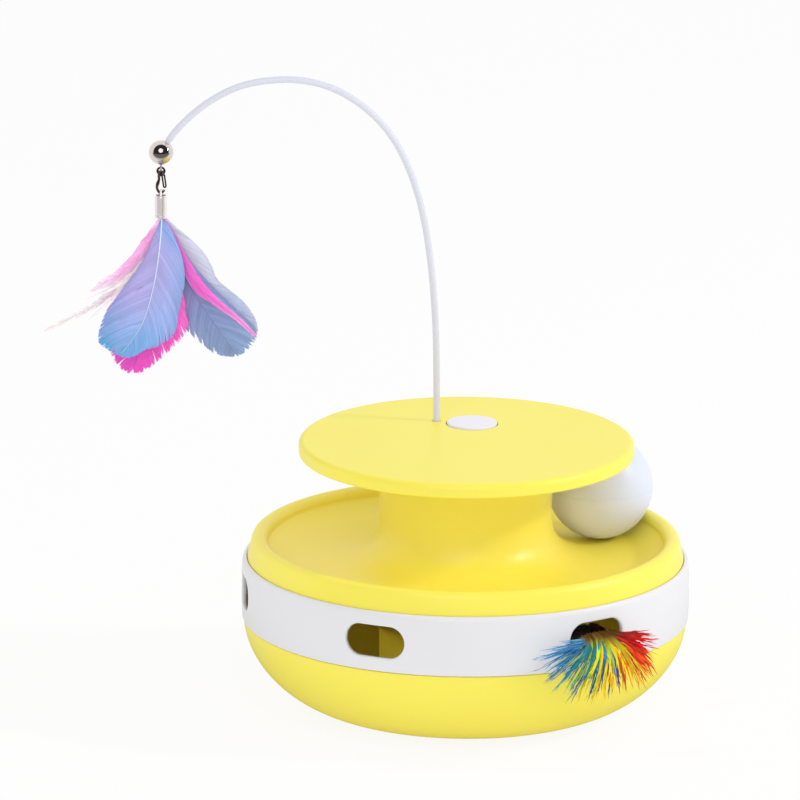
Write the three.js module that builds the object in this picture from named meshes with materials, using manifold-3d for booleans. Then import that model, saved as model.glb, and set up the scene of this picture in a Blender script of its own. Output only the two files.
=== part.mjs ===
// Automatic cat toy: a yellow bowl-shaped base with a white slotted band, a ball track with a
// hollow pedestal and top disc, a spinning feather drive inside, and a wire wand with a teaser.
// Millimetres, +Z up, axis of the base on Z, underside of the base at Z = 0, front towards -Y.

import * as THREE from "three";
import { mergeVertices } from "three/addons/utils/BufferGeometryUtils.js";
import Module from "manifold-3d";

const wasm = await Module();
wasm.setup();

// Fits and facets
const SEAT_GAP = 0.3; // between two pieces that rest on each other
const RUN_GAP = 0.4; // between two pieces that turn or slide on each other
const PAST = 1; // how far a cutting tool runs past the face it cuts
const ROUND = 36; // facets round the large mouldings
const SMALL_ROUND = 12; // facets round bosses, posts and small turned pieces
const FINE_ROUND = 8; // facets round screws, pins and wires

// Lower bowl; it ends just inside the face of the band
const BAND_R = 100;
const FLOOR_R = 0.544 * BAND_R;
const BOWL_R = BAND_R - 1.1;
const BOWL_TOP = 40;
const BOWL_FULLNESS = 1.82; // exponent of the superellipse of its side
const BOWL_WALL = 2.2;

// White band and its feather slots
const BAND_TOP = 67.5;
const BAND_WALL = 2.3;
const BAND_SKIRT = { wall: 1.5, bottom: 37 }; // the lip that centres the band in the bowl
const SLOT_COUNT = 6;
const SLOT_LENGTH = 28.5;
const SLOT_HEIGHT = 14.5;
const SLOT_Z = 53.9;
const FEATHER_SLOT = THREE.MathUtils.degToRad(36); // from the front, towards +X

// Ball track, pedestal and top disc
const TRACK_WALL = 2.2;
const RIM_CREST = { r: BAND_R - 7.9, z: 74, radius: 3.7 };
const TRACK_FLOOR_Z = 67;
const NECK_R = 38.2;
const NECK_Z = 89;
const NECK_HEAD_R = 44;
const DISC_R = 75;
const DISC_BOTTOM = 115;
const DISC_TOP = 121.5;
const SKIN = 2.2; // thickness of the disc's top and skirt

// Ball
const BALL_R = 23.7;
const BALL_WALL = 1.6;
const BALL_TRACK_R = 69.3; // the middle of the track
const BALL_AT = THREE.MathUtils.degToRad(30); // from +X, towards the back

// Power button and its switch
const BUTTON = { x: 2.5, y: 28, radius: 11.2, proud: 0.7, dome: 0.5 };
const BUTTON_TRAVEL = 1.6;

// Battery bay
const CELL_R = 7.25;
const CELL_LENGTH = 50.5;
const CELL_COUNT = 3;
const CELL_PITCH = 15;
const BAY = { x: 29.5, y: 23.5, top: 18, wall: 1.6 };
const DOOR_THICK = 2;
const DOOR_TAB = { reach: 39.4, half: 4.5, screwX: 35.4 };

// Hub, ring gear and pinion
const HUB_R = 38.2;
const HUB_WALL = 2.4;
const HUB_TOP = 60;
const LEDGE_Z = 41;
const GEAR_MODULE = 1.25;
const RING_TEETH = 64;
const PINION_TEETH = 16;
const GEAR_Z = 44.6;
const GEAR_TOP = 51.5;
const MOTOR_X = (GEAR_MODULE * (RING_TEETH - PINION_TEETH)) / 2;

// Case screws stand in wells either side of the battery bay
const CASE_SCREWS = [[13, 29.5], [-13, 29.5], [-13, -29.5], [13, -29.5]];
const WELL_TOP = 19.8;

// Feet
const FOOT = { ring: 46.5, radius: 5, proud: 0.8, pocket: 0.8 };

// Wand
const WAND_FOOT = { x: -13.4, y: 32, z: 109 };
const WIRE_R = 1.5;
const BELL = { x: -137.2, z: 244.5, radius: 5.5, wall: 0.6 };
const FERRULE = { radius: 2.7, bore: 2.15, length: 10.4 };

// Materials: colour, roughness and metalness
const MATERIALS = {
  yellow: [0xf2e063, 0.34, 0],
  white: [0xf1f1f2, 0.32, 0],
  rubber: [0x55565a, 0.9, 0],
  steel: [0xb4b6b9, 0.35, 1],
  chrome: [0xdfe1e4, 0.08, 1],
  brass: [0xc9a75a, 0.3, 1],
  blackPlastic: [0x2b2b2d, 0.5, 0],
  nylon: [0xe9e6dc, 0.45, 0],
  board: [0x2c6b45, 0.5, 0],
  cell: [0x3f5f86, 0.4, 0],
  redFlex: [0xb43a34, 0.5, 0],
  blueFeather: [0x7f93cf, 0.8, 0],
  pinkFeather: [0xe85a9c, 0.8, 0],
  greyFeather: [0x9fb0cf, 0.8, 0],
  lilacFeather: [0xb39fd8, 0.8, 0],
  paleFeather: [0xf3eef5, 0.8, 0],
  rainbow: [0x59b9a6, 0.8, 0],
};

const group = new THREE.Group();
group.name = "automatic_cat_toy";

// Solids

// Turns a closed geometry into a solid with its faces out.
function solidOf(geometry) {
  const bare = geometry.clone();
  bare.deleteAttribute("normal");
  bare.deleteAttribute("uv");
  const merged = mergeVertices(bare, 1e-5);
  const points = merged.attributes.position.array;
  const corners = [];
  let volume = 0;
  for (let i = 0; i < merged.index.count; i += 3) {
    const [a, b, c] = merged.index.array.slice(i, i + 3);
    if (a === b || b === c || c === a) continue;
    corners.push([a, b, c]);
    const [pa, pb, pc] = [a, b, c].map((k) => new THREE.Vector3().fromArray(points, 3 * k));
    volume += pa.dot(pb.cross(pc));
  }
  const order = volume > 0 ? corners : corners.map(([a, b, c]) => [a, c, b]);
  const triVerts = Uint32Array.from(order.flat());
  return new wasm.Manifold(new wasm.Mesh({ numProp: 3, vertProperties: points, triVerts }));
}

function geometryOf(solid) {
  const mesh = solid.getMesh();
  const geometry = new THREE.BufferGeometry();
  geometry.setAttribute("position", new THREE.BufferAttribute(mesh.vertProperties, mesh.numProp));
  geometry.setIndex(new THREE.BufferAttribute(mesh.triVerts, 1));
  geometry.computeVertexNormals();
  return geometry;
}

function join(first, ...others) {
  return others.reduce((whole, other) => whole.add(other), first);
}

function cut(body, ...tools) {
  return tools.reduce((rest, tool) => rest.subtract(tool), body);
}

function addPiece(name, solid, material) {
  const [color, roughness, metalness] = MATERIALS[material];
  const mesh = new THREE.Mesh(
    geometryOf(solid),
    new THREE.MeshStandardMaterial({ color, roughness, metalness }),
  );
  mesh.name = name;
  group.add(mesh);
}

// A profile of [radius, height] pairs turned about Z; a ring's profile is closed here.
function turned(profile, facets = ROUND) {
  const points = profile.map(([r, z]) => new THREE.Vector2(r, z));
  const onAxis = points[0].x === 0 && points.at(-1).x === 0;
  if (!onAxis) points.push(points[0].clone());
  if (THREE.ShapeUtils.isClockWise(points)) points.reverse();
  return solidOf(new THREE.LatheGeometry(points, facets).rotateX(Math.PI / 2));
}

function post(x, y, radius, bottom, top, facets = SMALL_ROUND) {
  const height = top - bottom;
  const cylinder = new THREE.CylinderGeometry(radius, radius, height, facets).rotateX(Math.PI / 2);
  return solidOf(cylinder.translate(x, y, bottom + height / 2));
}

function block(low, high) {
  const size = high.map((value, i) => value - low[i]);
  const middle = high.map((value, i) => (value + low[i]) / 2);
  return solidOf(new THREE.BoxGeometry(...size).translate(...middle));
}

// A flat outline in X and Y raised between two heights.
function raised(outline, bottom, top) {
  const shape = new THREE.Shape(outline);
  const geometry = new THREE.ExtrudeGeometry(shape, { depth: top - bottom, bevelEnabled: false });
  return solidOf(geometry.translate(0, 0, bottom));
}

function circle(radius, sides) {
  return Array.from({ length: sides }, (_, i) => {
    const angle = (2 * Math.PI * i) / sides;
    return new THREE.Vector2(radius * Math.cos(angle), radius * Math.sin(angle));
  });
}

function wireAlong(curve, radius, steps, sides = 8) {
  const section = new THREE.Shape(circle(radius, sides));
  return solidOf(new THREE.ExtrudeGeometry(section, { steps, extrudePath: curve, bevelEnabled: false }));
}

function smoothPath(points) {
  return new THREE.CatmullRomCurve3(points.map((p) => new THREE.Vector3(...p)));
}

// A ring of wire; its hole looks along the given axis, "x" or "y".
function wireRing(x, y, z, radius, wire, holeAlong) {
  const ring = new THREE.TorusGeometry(radius, wire, 6, 12);
  if (holeAlong === "x") ring.rotateY(Math.PI / 2);
  else ring.rotateX(Math.PI / 2);
  return solidOf(ring.translate(x, y, z));
}

// Sections of equal point counts joined into one closed skin.
function lofted(sections) {
  const sides = sections[0].length;
  const index = [];
  for (let row = 0; row + 1 < sections.length; row += 1) {
    for (let side = 0; side < sides; side += 1) {
      const a = row * sides + side;
      const b = row * sides + ((side + 1) % sides);
      index.push(a, b, b + sides, a, b + sides, a + sides);
    }
  }
  const last = (sections.length - 1) * sides;
  for (let side = 1; side + 1 < sides; side += 1) {
    index.push(0, side + 1, side, last, last + side, last + side + 1);
  }
  const geometry = new THREE.BufferGeometry();
  const places = sections.flat().flatMap((point) => point.toArray());
  geometry.setAttribute("position", new THREE.Float32BufferAttribute(places, 3));
  geometry.setIndex(index);
  return solidOf(geometry);
}

function polar(radius, angle, z) {
  return [radius * Math.cos(angle), radius * Math.sin(angle), z];
}

// Places something made along +X at an angle from the front, towards +X.
function facing(solid, fromFront) {
  return solid.rotate([0, 0, THREE.MathUtils.radToDeg(fromFront) - 90]);
}

function arc(centreR, centreZ, radius, fromAngle, toAngle, steps) {
  return Array.from({ length: steps + 1 }, (_, i) => {
    const angle = THREE.MathUtils.degToRad(fromAngle + ((toAngle - fromAngle) * i) / steps);
    return [centreR + radius * Math.cos(angle), centreZ + radius * Math.sin(angle)];
  });
}

// A screw driven upwards, from its head to its tip.
function screwUp(x, y, headBottom, headTop, tip, headR, shankR) {
  const head = post(x, y, headR, headBottom, headTop, FINE_ROUND);
  const shank = post(x, y, shankR, headTop - 0.1, tip - 2 * shankR, FINE_ROUND);
  const point = new THREE.CylinderGeometry(0.3, shankR, 2 * shankR, FINE_ROUND).rotateX(Math.PI / 2);
  return join(head, shank, solidOf(point.translate(x, y, tip - shankR)));
}

// Lower bowl

function bowlSide(lowR, highR, lowZ, steps) {
  return Array.from({ length: steps + 1 }, (_, i) => {
    const turn = (Math.PI / 2) * (1 - i / steps);
    const across = Math.cos(turn) ** (2 / BOWL_FULLNESS);
    const down = Math.sin(turn) ** (2 / BOWL_FULLNESS);
    return [lowR + (highR - lowR) * across, lowZ + (BOWL_TOP - lowZ) * (1 - down)];
  });
}

function footPlaces() {
  return [0, 1, 2, 3].map((i) => polar(FOOT.ring, Math.PI / 4 + (i * Math.PI) / 2, 0));
}

function lowerBowl() {
  const outside = bowlSide(FLOOR_R, BOWL_R, 0, 9);
  const inside = bowlSide(FLOOR_R - BOWL_WALL / 2, BOWL_R - BOWL_WALL, BOWL_WALL, 6).reverse();
  let body = turned([[0, 0], ...outside, ...inside, [0, BOWL_WALL]]);
  body = body.add(block(
    [-BAY.x - BAY.wall, -BAY.y - BAY.wall, PAST],
    [BAY.x + BAY.wall, BAY.y + BAY.wall, BAY.top + BAY.wall],
  ));
  body = body.add(post(DOOR_TAB.screwX, 0, 4.2, PAST, 12));
  for (const [x, y] of CASE_SCREWS) body = body.add(post(x, y, 4.6, PAST, WELL_TOP));
  body = cut(
    body,
    block([-BAY.x, -BAY.y, -PAST], [BAY.x, BAY.y, BAY.top]),
    block([0, -DOOR_TAB.half, -PAST], [DOOR_TAB.reach, DOOR_TAB.half, DOOR_THICK + SEAT_GAP]),
    post(DOOR_TAB.screwX, 0, 1.6, 0, 11),
  );
  for (const [x, y] of CASE_SCREWS) {
    body = cut(body, post(x, y, 3.3, -PAST, 16), post(x, y, 1.85, 0, WELL_TOP + PAST));
  }
  for (const [x, y] of footPlaces()) {
    body = body.subtract(post(x, y, FOOT.radius + SEAT_GAP, -PAST, FOOT.pocket));
  }
  return body;
}

function batteryDoor() {
  const fit = SEAT_GAP;
  const panel = block([-BAY.x + fit, -BAY.y + fit, 0], [BAY.x - fit, BAY.y - fit, DOOR_THICK]);
  const tab = block([0, -DOOR_TAB.half + fit, 0], [DOOR_TAB.reach - fit, DOOR_TAB.half - fit, DOOR_THICK]);
  const hole = post(DOOR_TAB.screwX, 0, 1.6, -PAST, DOOR_THICK + PAST);
  const sink = post(DOOR_TAB.screwX, 0, 2.9, -PAST, 1.1);
  return cut(join(panel, tab), hole, sink);
}

function batteryCell(y) {
  const half = CELL_LENGTH / 2;
  const cell = turned([
    [0, -half], [CELL_R - 0.8, -half], [CELL_R, -half + 0.8], [CELL_R, half - 2],
    [CELL_R - 1, half - 1.2], [2.7, half - 1.2], [2.7, half], [0, half],
  ], SMALL_ROUND);
  return cell.rotate([0, 90, 0]).translate([0, y, DOOR_THICK + 2 * SEAT_GAP + CELL_R]);
}

// Two thin spring plates, one at each end of the cells.
function batteryContact(side) {
  const inner = CELL_LENGTH / 2 + 1.6;
  const outer = BAY.x - SEAT_GAP;
  const low = Math.min(side * inner, side * outer);
  const high = Math.max(side * inner, side * outer);
  const plateLow = side > 0 ? high - 0.5 : low;
  let contact = block([plateLow, -BAY.y + 1, 3.5], [plateLow + 0.5, BAY.y - 1, BAY.top - 1.5]);
  for (let i = 0; i < CELL_COUNT; i += 1) {
    const y = (i - (CELL_COUNT - 1) / 2) * CELL_PITCH;
    const cone = new THREE.CylinderGeometry(2.2, 4.4, high - low, FINE_ROUND);
    cone.rotateZ(side * Math.PI / 2);
    contact = contact.add(solidOf(cone.translate((low + high) / 2, y, 9.8)));
  }
  return contact;
}

addPiece("lower_bowl", lowerBowl(), "yellow");
addPiece("battery_door", batteryDoor(), "yellow");
addPiece("door_screw", screwUp(DOOR_TAB.screwX, 0, 0.1, 0.8, 9, 2.5, 1.2), "steel");
for (let i = 0; i < CELL_COUNT; i += 1) {
  addPiece(`battery_cell_${i + 1}`, batteryCell((i - (CELL_COUNT - 1) / 2) * CELL_PITCH), "cell");
}
addPiece("battery_contact_left", batteryContact(-1), "steel");
addPiece("battery_contact_right", batteryContact(1), "steel");
footPlaces().forEach(([x, y], i) => {
  const foot = post(x, y, FOOT.radius, -FOOT.proud, FOOT.pocket - SEAT_GAP);
  addPiece(`rubber_foot_${i + 1}`, foot, "rubber");
});

// White band

function stadium(length, height) {
  const end = height / 2;
  const straight = length / 2 - end;
  const shape = new THREE.Shape();
  shape.moveTo(-straight, -end);
  shape.lineTo(straight, -end);
  shape.absarc(straight, 0, end, -Math.PI / 2, Math.PI / 2, false);
  shape.lineTo(-straight, end);
  shape.absarc(-straight, 0, end, Math.PI / 2, (3 * Math.PI) / 2, false);
  return shape;
}

function slotTool(fromFront) {
  const depth = 12;
  const tool = new THREE.ExtrudeGeometry(stadium(SLOT_LENGTH, SLOT_HEIGHT), {
    depth, curveSegments: 5, bevelEnabled: false,
  });
  tool.rotateX(Math.PI / 2).rotateZ(Math.PI / 2);
  tool.translate(BAND_R + PAST - depth, 0, SLOT_Z);
  return facing(solidOf(tool), fromFront);
}

function whiteBand() {
  const low = BOWL_TOP + SEAT_GAP;
  const inner = BAND_R - BAND_WALL;
  const skirtOuter = BOWL_R - BOWL_WALL - 1;
  const skirtInner = skirtOuter - BAND_SKIRT.wall;
  let band = turned([
    [skirtOuter, low], [BAND_R - 0.5, low], [BAND_R - 0.1, SLOT_Z - 6.75], [BAND_R, SLOT_Z],
    [BAND_R - 0.1, SLOT_Z + 6.25], [BAND_R - 0.3, BAND_TOP - 2.1], [BAND_R - 0.8, BAND_TOP - 0.7],
    [BAND_R - 1.8, BAND_TOP], [inner, BAND_TOP - 0.1], [inner, low + 3.6], [skirtInner, low + 2],
    [skirtInner, BAND_SKIRT.bottom], [skirtOuter, BAND_SKIRT.bottom],
  ]);
  for (let i = 0; i < SLOT_COUNT; i += 1) {
    band = band.subtract(slotTool(FEATHER_SLOT + (i * 2 * Math.PI) / SLOT_COUNT));
  }
  return band;
}

addPiece("white_band", whiteBand(), "white");

// Ball track with its pedestal

// The outline of the track from its skirt to the head of the pedestal; finer for its upper side.
function trackOutline(fineness) {
  const skirtR = BAND_R - BAND_WALL - SEAT_GAP;
  const { r, z, radius } = RIM_CREST;
  const crest = arc(r, z, radius, 5, 180, 3 + fineness);
  const outerFloor = new THREE.CubicBezierCurve(
    new THREE.Vector2(r - radius, z - 0.8),
    new THREE.Vector2(r - radius - 2.4, z - 4),
    new THREE.Vector2(BALL_TRACK_R + 9.7, TRACK_FLOOR_Z),
    new THREE.Vector2(BALL_TRACK_R, TRACK_FLOOR_Z),
  );
  const innerFloor = new THREE.CubicBezierCurve(
    new THREE.Vector2(BALL_TRACK_R, TRACK_FLOOR_Z),
    new THREE.Vector2(BALL_TRACK_R - 22, TRACK_FLOOR_Z),
    new THREE.Vector2(NECK_R, NECK_Z - 16),
    new THREE.Vector2(NECK_R, NECK_Z),
  );
  const neck = new THREE.CubicBezierCurve(
    new THREE.Vector2(NECK_R, NECK_Z),
    new THREE.Vector2(NECK_R, NECK_Z + 12),
    new THREE.Vector2(NECK_HEAD_R - 4, DISC_BOTTOM - 8),
    new THREE.Vector2(NECK_HEAD_R, DISC_BOTTOM - SEAT_GAP),
  );
  return [
    new THREE.Vector2(skirtR, BAND_TOP - 4),
    new THREE.Vector2(skirtR, BAND_TOP + 0.4),
    ...crest.map(([x, y]) => new THREE.Vector2(x, y)),
    ...outerFloor.getPoints(2 + fineness),
    ...innerFloor.getPoints(3 + fineness).slice(1),
    ...neck.getPoints(2).slice(1),
  ];
}

// Moves each point of an outline sideways, square to its neighbours; its ends stay level.
function inset(points, distance) {
  return points.map((point, i) => {
    const before = points[Math.max(i - 1, 0)];
    const after = points[Math.min(i + 1, points.length - 1)];
    const along = after.clone().sub(before).normalize();
    const rise = after === point || before === point ? 0 : along.x * distance;
    return new THREE.Vector2(point.x - along.y * distance, point.y + rise);
  });
}

const DISC_SCREWS = [-90, 30, 150].map((degrees) => THREE.MathUtils.degToRad(degrees));
const DISC_SCREW_R = 33.2;
const DISC_EAR = { bottom: 98.6, top: 101 };

function trackTray() {
  const top = trackOutline(1);
  const under = inset(trackOutline(0), TRACK_WALL).reverse();
  let tray = turned([...top, ...under].map((point) => [point.x, point.y]));
  for (const [x, y] of CASE_SCREWS) {
    const angle = Math.atan2(y, x);
    const web = block([33, -0.9, 74], [37.4, 0.9, 86]).rotate([0, 0, THREE.MathUtils.radToDeg(angle)]);
    tray = join(tray, post(x, y, 3.4, HUB_TOP + SEAT_GAP, 86), web);
    tray = tray.subtract(post(x, y, 1.7, HUB_TOP, 80));
  }
  for (const angle of DISC_SCREWS) {
    const ear = block([29.6, -4, DISC_EAR.bottom], [37, 4, DISC_EAR.top]);
    const [x, y] = polar(DISC_SCREW_R, angle, 0);
    tray = tray.add(ear.rotate([0, 0, THREE.MathUtils.radToDeg(angle)]));
    tray = tray.subtract(post(x, y, 1.6, DISC_EAR.bottom - PAST, DISC_EAR.top + PAST));
  }
  return tray;
}

addPiece("track_tray", trackTray(), "yellow");
CASE_SCREWS.forEach(([x, y], i) => {
  addPiece(`case_screw_${i + 1}`, screwUp(x, y, 13.4, 15.7, 72, 2.9, 1.4), "steel");
});

// Ball, welded from two hollow halves

const BALL_PLACE = polar(BALL_TRACK_R, BALL_AT, TRACK_FLOOR_Z + SEAT_GAP + BALL_R);

function ballHalf(up) {
  const seam = 0.05;
  const outer = arc(0, 0, BALL_R, Math.asin(seam / BALL_R) * (180 / Math.PI), 90, 6);
  const inner = arc(0, 0, BALL_R - BALL_WALL, 0.2, 90, 4).reverse();
  outer[outer.length - 1] = [0, BALL_R];
  inner[0] = [0, BALL_R - BALL_WALL];
  inner[inner.length - 1] = [BALL_R - BALL_WALL, seam];
  const shell = turned([...outer, ...inner], 20);
  return shell.rotate([up ? 0 : 180, 0, 0]).translate(BALL_PLACE);
}

addPiece("ball_upper_half", ballHalf(true), "white");
addPiece("ball_lower_half", ballHalf(false), "white");

// Top disc

const BOARD = { radius: 29.8, bottom: 103.6, thick: 1.6, posts: [[0, -22], [-24, 2]] };
const BUTTON_COLLAR = { outer: 12.9, bottom: 116.9 };

function topDisc() {
  const inside = DISC_R - SKIN - 0.2;
  const under = DISC_TOP - SKIN;
  let disc = turned([
    [0, under], [inside, under], [inside, DISC_BOTTOM], [DISC_R - 1.2, DISC_BOTTOM],
    [DISC_R, DISC_BOTTOM + 1.5], [DISC_R, DISC_TOP - 2.3], [DISC_R - 0.8, DISC_TOP - 0.7],
    [DISC_R - 2.6, DISC_TOP], [0, DISC_TOP],
  ]);
  disc = disc.add(post(BUTTON.x, BUTTON.y, BUTTON_COLLAR.outer, BUTTON_COLLAR.bottom, under + 0.5, 24));
  for (const angle of DISC_SCREWS) {
    const [x, y] = polar(DISC_SCREW_R, angle, 0);
    disc = disc.add(post(x, y, 2.8, DISC_EAR.top + SEAT_GAP, under + 0.5));
    disc = disc.subtract(post(x, y, 1.5, DISC_EAR.top, 114));
  }
  for (const [x, y] of BOARD.posts) {
    disc = disc.add(post(x, y, 2.8, BOARD.bottom + BOARD.thick + SEAT_GAP, under + 0.5));
    disc = disc.subtract(post(x, y, 1.3, BOARD.bottom, 114));
  }
  return cut(
    disc,
    post(BUTTON.x, BUTTON.y, BUTTON.radius + RUN_GAP, BUTTON_COLLAR.bottom - PAST, DISC_TOP + PAST, 24),
    post(WAND_FOOT.x, WAND_FOOT.y, WIRE_R + RUN_GAP, under - PAST, DISC_TOP + PAST, SMALL_ROUND),
  );
}

function discUnderplate() {
  const outer = DISC_R - SKIN - 0.2 - SEAT_GAP;
  const low = DISC_BOTTOM + 0.2;
  return turned([[41.2, low], [outer - 0.4, low], [outer, low + 0.4], [outer, low + 1.8], [41.2, low + 1.8]]);
}

function wandSocket() {
  const socket = post(WAND_FOOT.x, WAND_FOOT.y, 3.1, WAND_FOOT.z - 2, DISC_TOP - SKIN - SEAT_GAP);
  const bore = post(WAND_FOOT.x, WAND_FOOT.y, WIRE_R + RUN_GAP, WAND_FOOT.z - SEAT_GAP, DISC_TOP);
  return socket.subtract(bore);
}

addPiece("top_disc", topDisc(), "yellow");
addPiece("disc_underplate", discUnderplate(), "yellow");
addPiece("wand_socket", wandSocket(), "nylon");
DISC_SCREWS.forEach((angle, i) => {
  const [x, y] = polar(DISC_SCREW_R, angle, 0);
  addPiece(`disc_screw_${i + 1}`, screwUp(x, y, 96.4, DISC_EAR.bottom - SEAT_GAP, 111, 2.6, 1.2), "steel");
});

// Button, switch and circuit board

const SWITCH = { half: 4.25, top: 112.4, wellR: 2.1, wellBottom: 107.4 };
const PLUNGER_TOP = 115.2;

function powerButton() {
  const { x, y, radius, proud, dome } = BUTTON;
  const rim = DISC_TOP + proud;
  const flange = { radius: 12.5, bottom: 115.2, top: BUTTON_COLLAR.bottom - SEAT_GAP };
  const cap = turned([
    [0, 118], [radius - 1.8, 118], [radius - 1.8, flange.bottom], [flange.radius, flange.bottom],
    [flange.radius, flange.top], [radius, flange.top], [radius, rim - 0.9], [radius - 0.9, rim],
    [radius * 0.6, rim + dome * 0.7], [0, rim + dome],
  ], 24).translate([x, y, 0]);
  return cap.add(post(x, y, 2.6, PLUNGER_TOP + SEAT_GAP, 118.5));
}

function pushSwitch() {
  const { half, top, wellR, wellBottom } = SWITCH;
  const low = BOARD.bottom + BOARD.thick + SEAT_GAP;
  const body = block([BUTTON.x - half, BUTTON.y - half, low], [BUTTON.x + half, BUTTON.y + half, top]);
  return body.subtract(post(BUTTON.x, BUTTON.y, wellR, wellBottom, top + PAST));
}

function circuitBoard() {
  const board = post(0, 0, BOARD.radius, BOARD.bottom, BOARD.bottom + BOARD.thick, 24);
  const leadHole = post(0, 0, 6, BOARD.bottom - PAST, BOARD.bottom + BOARD.thick + PAST);
  const corner = post(BUTTON.x, BUTTON.y, 6.4, BOARD.bottom, BOARD.bottom + BOARD.thick);
  const holes = BOARD.posts.map(([x, y]) => (
    post(x, y, 1.6, BOARD.bottom - PAST, BOARD.bottom + BOARD.thick + PAST)
  ));
  return cut(join(board, corner), leadHole, ...holes);
}

addPiece("power_button", powerButton(), "white");
addPiece(
  "switch_plunger",
  post(BUTTON.x, BUTTON.y, SWITCH.wellR - RUN_GAP, SWITCH.wellBottom + BUTTON_TRAVEL + RUN_GAP, PLUNGER_TOP),
  "nylon",
);
addPiece("push_switch", pushSwitch(), "blackPlastic");
addPiece("circuit_board", circuitBoard(), "board");
BOARD.posts.forEach(([x, y], i) => {
  const head = BOARD.bottom - SEAT_GAP;
  addPiece(`board_screw_${i + 1}`, screwUp(x, y, head - 1.8, head, 111, 2.4, 1.05), "steel");
});

// Hub tower, motor and pinion

const CLIP = { bottom: 52.1, top: 53.5, groove: 0.8 };
const MOTOR = { halfX: 4.8, halfY: 6, bottom: 21, canTop: 36.2, top: GEAR_Z - SEAT_GAP };

function hubTower() {
  const inner = HUB_R - HUB_WALL;
  const low = WELL_TOP + SEAT_GAP;
  const grooveR = HUB_R - CLIP.groove;
  let hub = turned([
    [inner, low], [HUB_R, low], [HUB_R, LEDGE_Z - 6], [HUB_R + 3.4, LEDGE_Z - 2.4], [HUB_R + 3.4, LEDGE_Z],
    [HUB_R, LEDGE_Z], [HUB_R, CLIP.bottom - 0.2], [grooveR, CLIP.bottom - 0.2], [grooveR, CLIP.top + 0.2],
    [HUB_R, CLIP.top + 0.2], [HUB_R, HUB_TOP], [26, HUB_TOP], [26, HUB_TOP - 2], [inner, HUB_TOP - 2],
  ]);
  for (const [x, y] of CASE_SCREWS) {
    hub = hub.add(post(x, y, 4, low, HUB_TOP)).subtract(post(x, y, 1.75, 0, HUB_TOP + PAST));
  }
  for (const side of [-1, 1]) {
    const near = side * (MOTOR.halfY + SEAT_GAP);
    const far = side * (MOTOR.halfY + 1.9);
    hub = hub.add(block([27, Math.min(near, far), 24], [inner + 0.4, Math.max(near, far), 40]));
  }
  return hub.subtract(block([30, -11, GEAR_Z + 0.2], [HUB_R + 2, 11, GEAR_TOP + 0.2]));
}

function retainingClip() {
  const inner = HUB_R - CLIP.groove + SEAT_GAP;
  const outer = 43.4;
  const ring = turned([[inner, CLIP.bottom], [outer, CLIP.bottom], [outer, CLIP.top], [inner, CLIP.top]]);
  return ring.subtract(block([-60, -7, CLIP.bottom - PAST], [0, 7, CLIP.top + PAST]));
}

// Involute gear outline; share is the width of a tooth over the pitch.
function gearOutline(teeth, share, tipRadius, rootRadius) {
  const pitchRadius = (GEAR_MODULE * teeth) / 2;
  const pressure = THREE.MathUtils.degToRad(20);
  const baseRadius = pitchRadius * Math.cos(pressure);
  const involute = (radius) => {
    const angle = Math.acos(Math.min(1, baseRadius / radius));
    return Math.tan(angle) - angle;
  };
  const halfTooth = (radius) => (Math.PI * share) / teeth + involute(pitchRadius) - involute(radius);
  const steps = [rootRadius, tipRadius];
  const outline = [];
  for (let tooth = 0; tooth < teeth; tooth += 1) {
    const middle = (2 * Math.PI * tooth) / teeth;
    for (const radius of steps) {
      const [x, y] = polar(radius, middle - halfTooth(radius), 0);
      outline.push(new THREE.Vector2(x, y));
    }
    for (const radius of [...steps].reverse()) {
      const [x, y] = polar(radius, middle + halfTooth(radius), 0);
      outline.push(new THREE.Vector2(x, y));
    }
  }
  return outline;
}

function drivePinion() {
  const pitch = (GEAR_MODULE * PINION_TEETH) / 2;
  const outline = gearOutline(PINION_TEETH, 0.46, pitch + GEAR_MODULE, pitch - 1.25 * GEAR_MODULE);
  const gear = raised(outline, GEAR_Z + 0.7, GEAR_TOP - 0.2);
  const hub = post(0, 0, 4, GEAR_TOP - 1, GEAR_TOP + 1.4);
  const bore = post(0, 0, 1.5 + SEAT_GAP, GEAR_Z, GEAR_TOP + 3, FINE_ROUND);
  return join(gear, hub).subtract(bore).translate([MOTOR_X, 0, 0]);
}

function featherCarrier() {
  const low = LEDGE_Z + SEAT_GAP;
  const pitch = (GEAR_MODULE * RING_TEETH) / 2;
  const hole = gearOutline(RING_TEETH, 0.54, pitch + 1.3 * GEAR_MODULE, pitch - 0.6 * GEAR_MODULE);
  const inner = HUB_R + RUN_GAP;
  const outer = inner + 7;
  let ring = turned([
    [inner, low], [outer, low], [outer, GEAR_TOP - 0.8], [outer - 0.8, GEAR_TOP], [inner, GEAR_TOP],
  ]);
  ring = ring.subtract(raised(hole, GEAR_Z - 0.3, GEAR_TOP + PAST));
  const arm = raised([
    new THREE.Vector2(43.5, -11), new THREE.Vector2(88, -6), new THREE.Vector2(90, -4),
    new THREE.Vector2(90, 4), new THREE.Vector2(88, 6), new THREE.Vector2(43.5, 11),
  ], low, low + 2.4);
  const ribs = [-1, 1].map((side) => block([44, side * 4 - 0.8, low], [78, side * 4 + 0.8, low + 6]));
  const pillar = block([76, -5, low], [88, 5, FEATHER_CLIP.bottom - SEAT_GAP]);
  return join(ring, facing(join(arm, ...ribs, pillar), FEATHER_SLOT));
}

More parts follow.
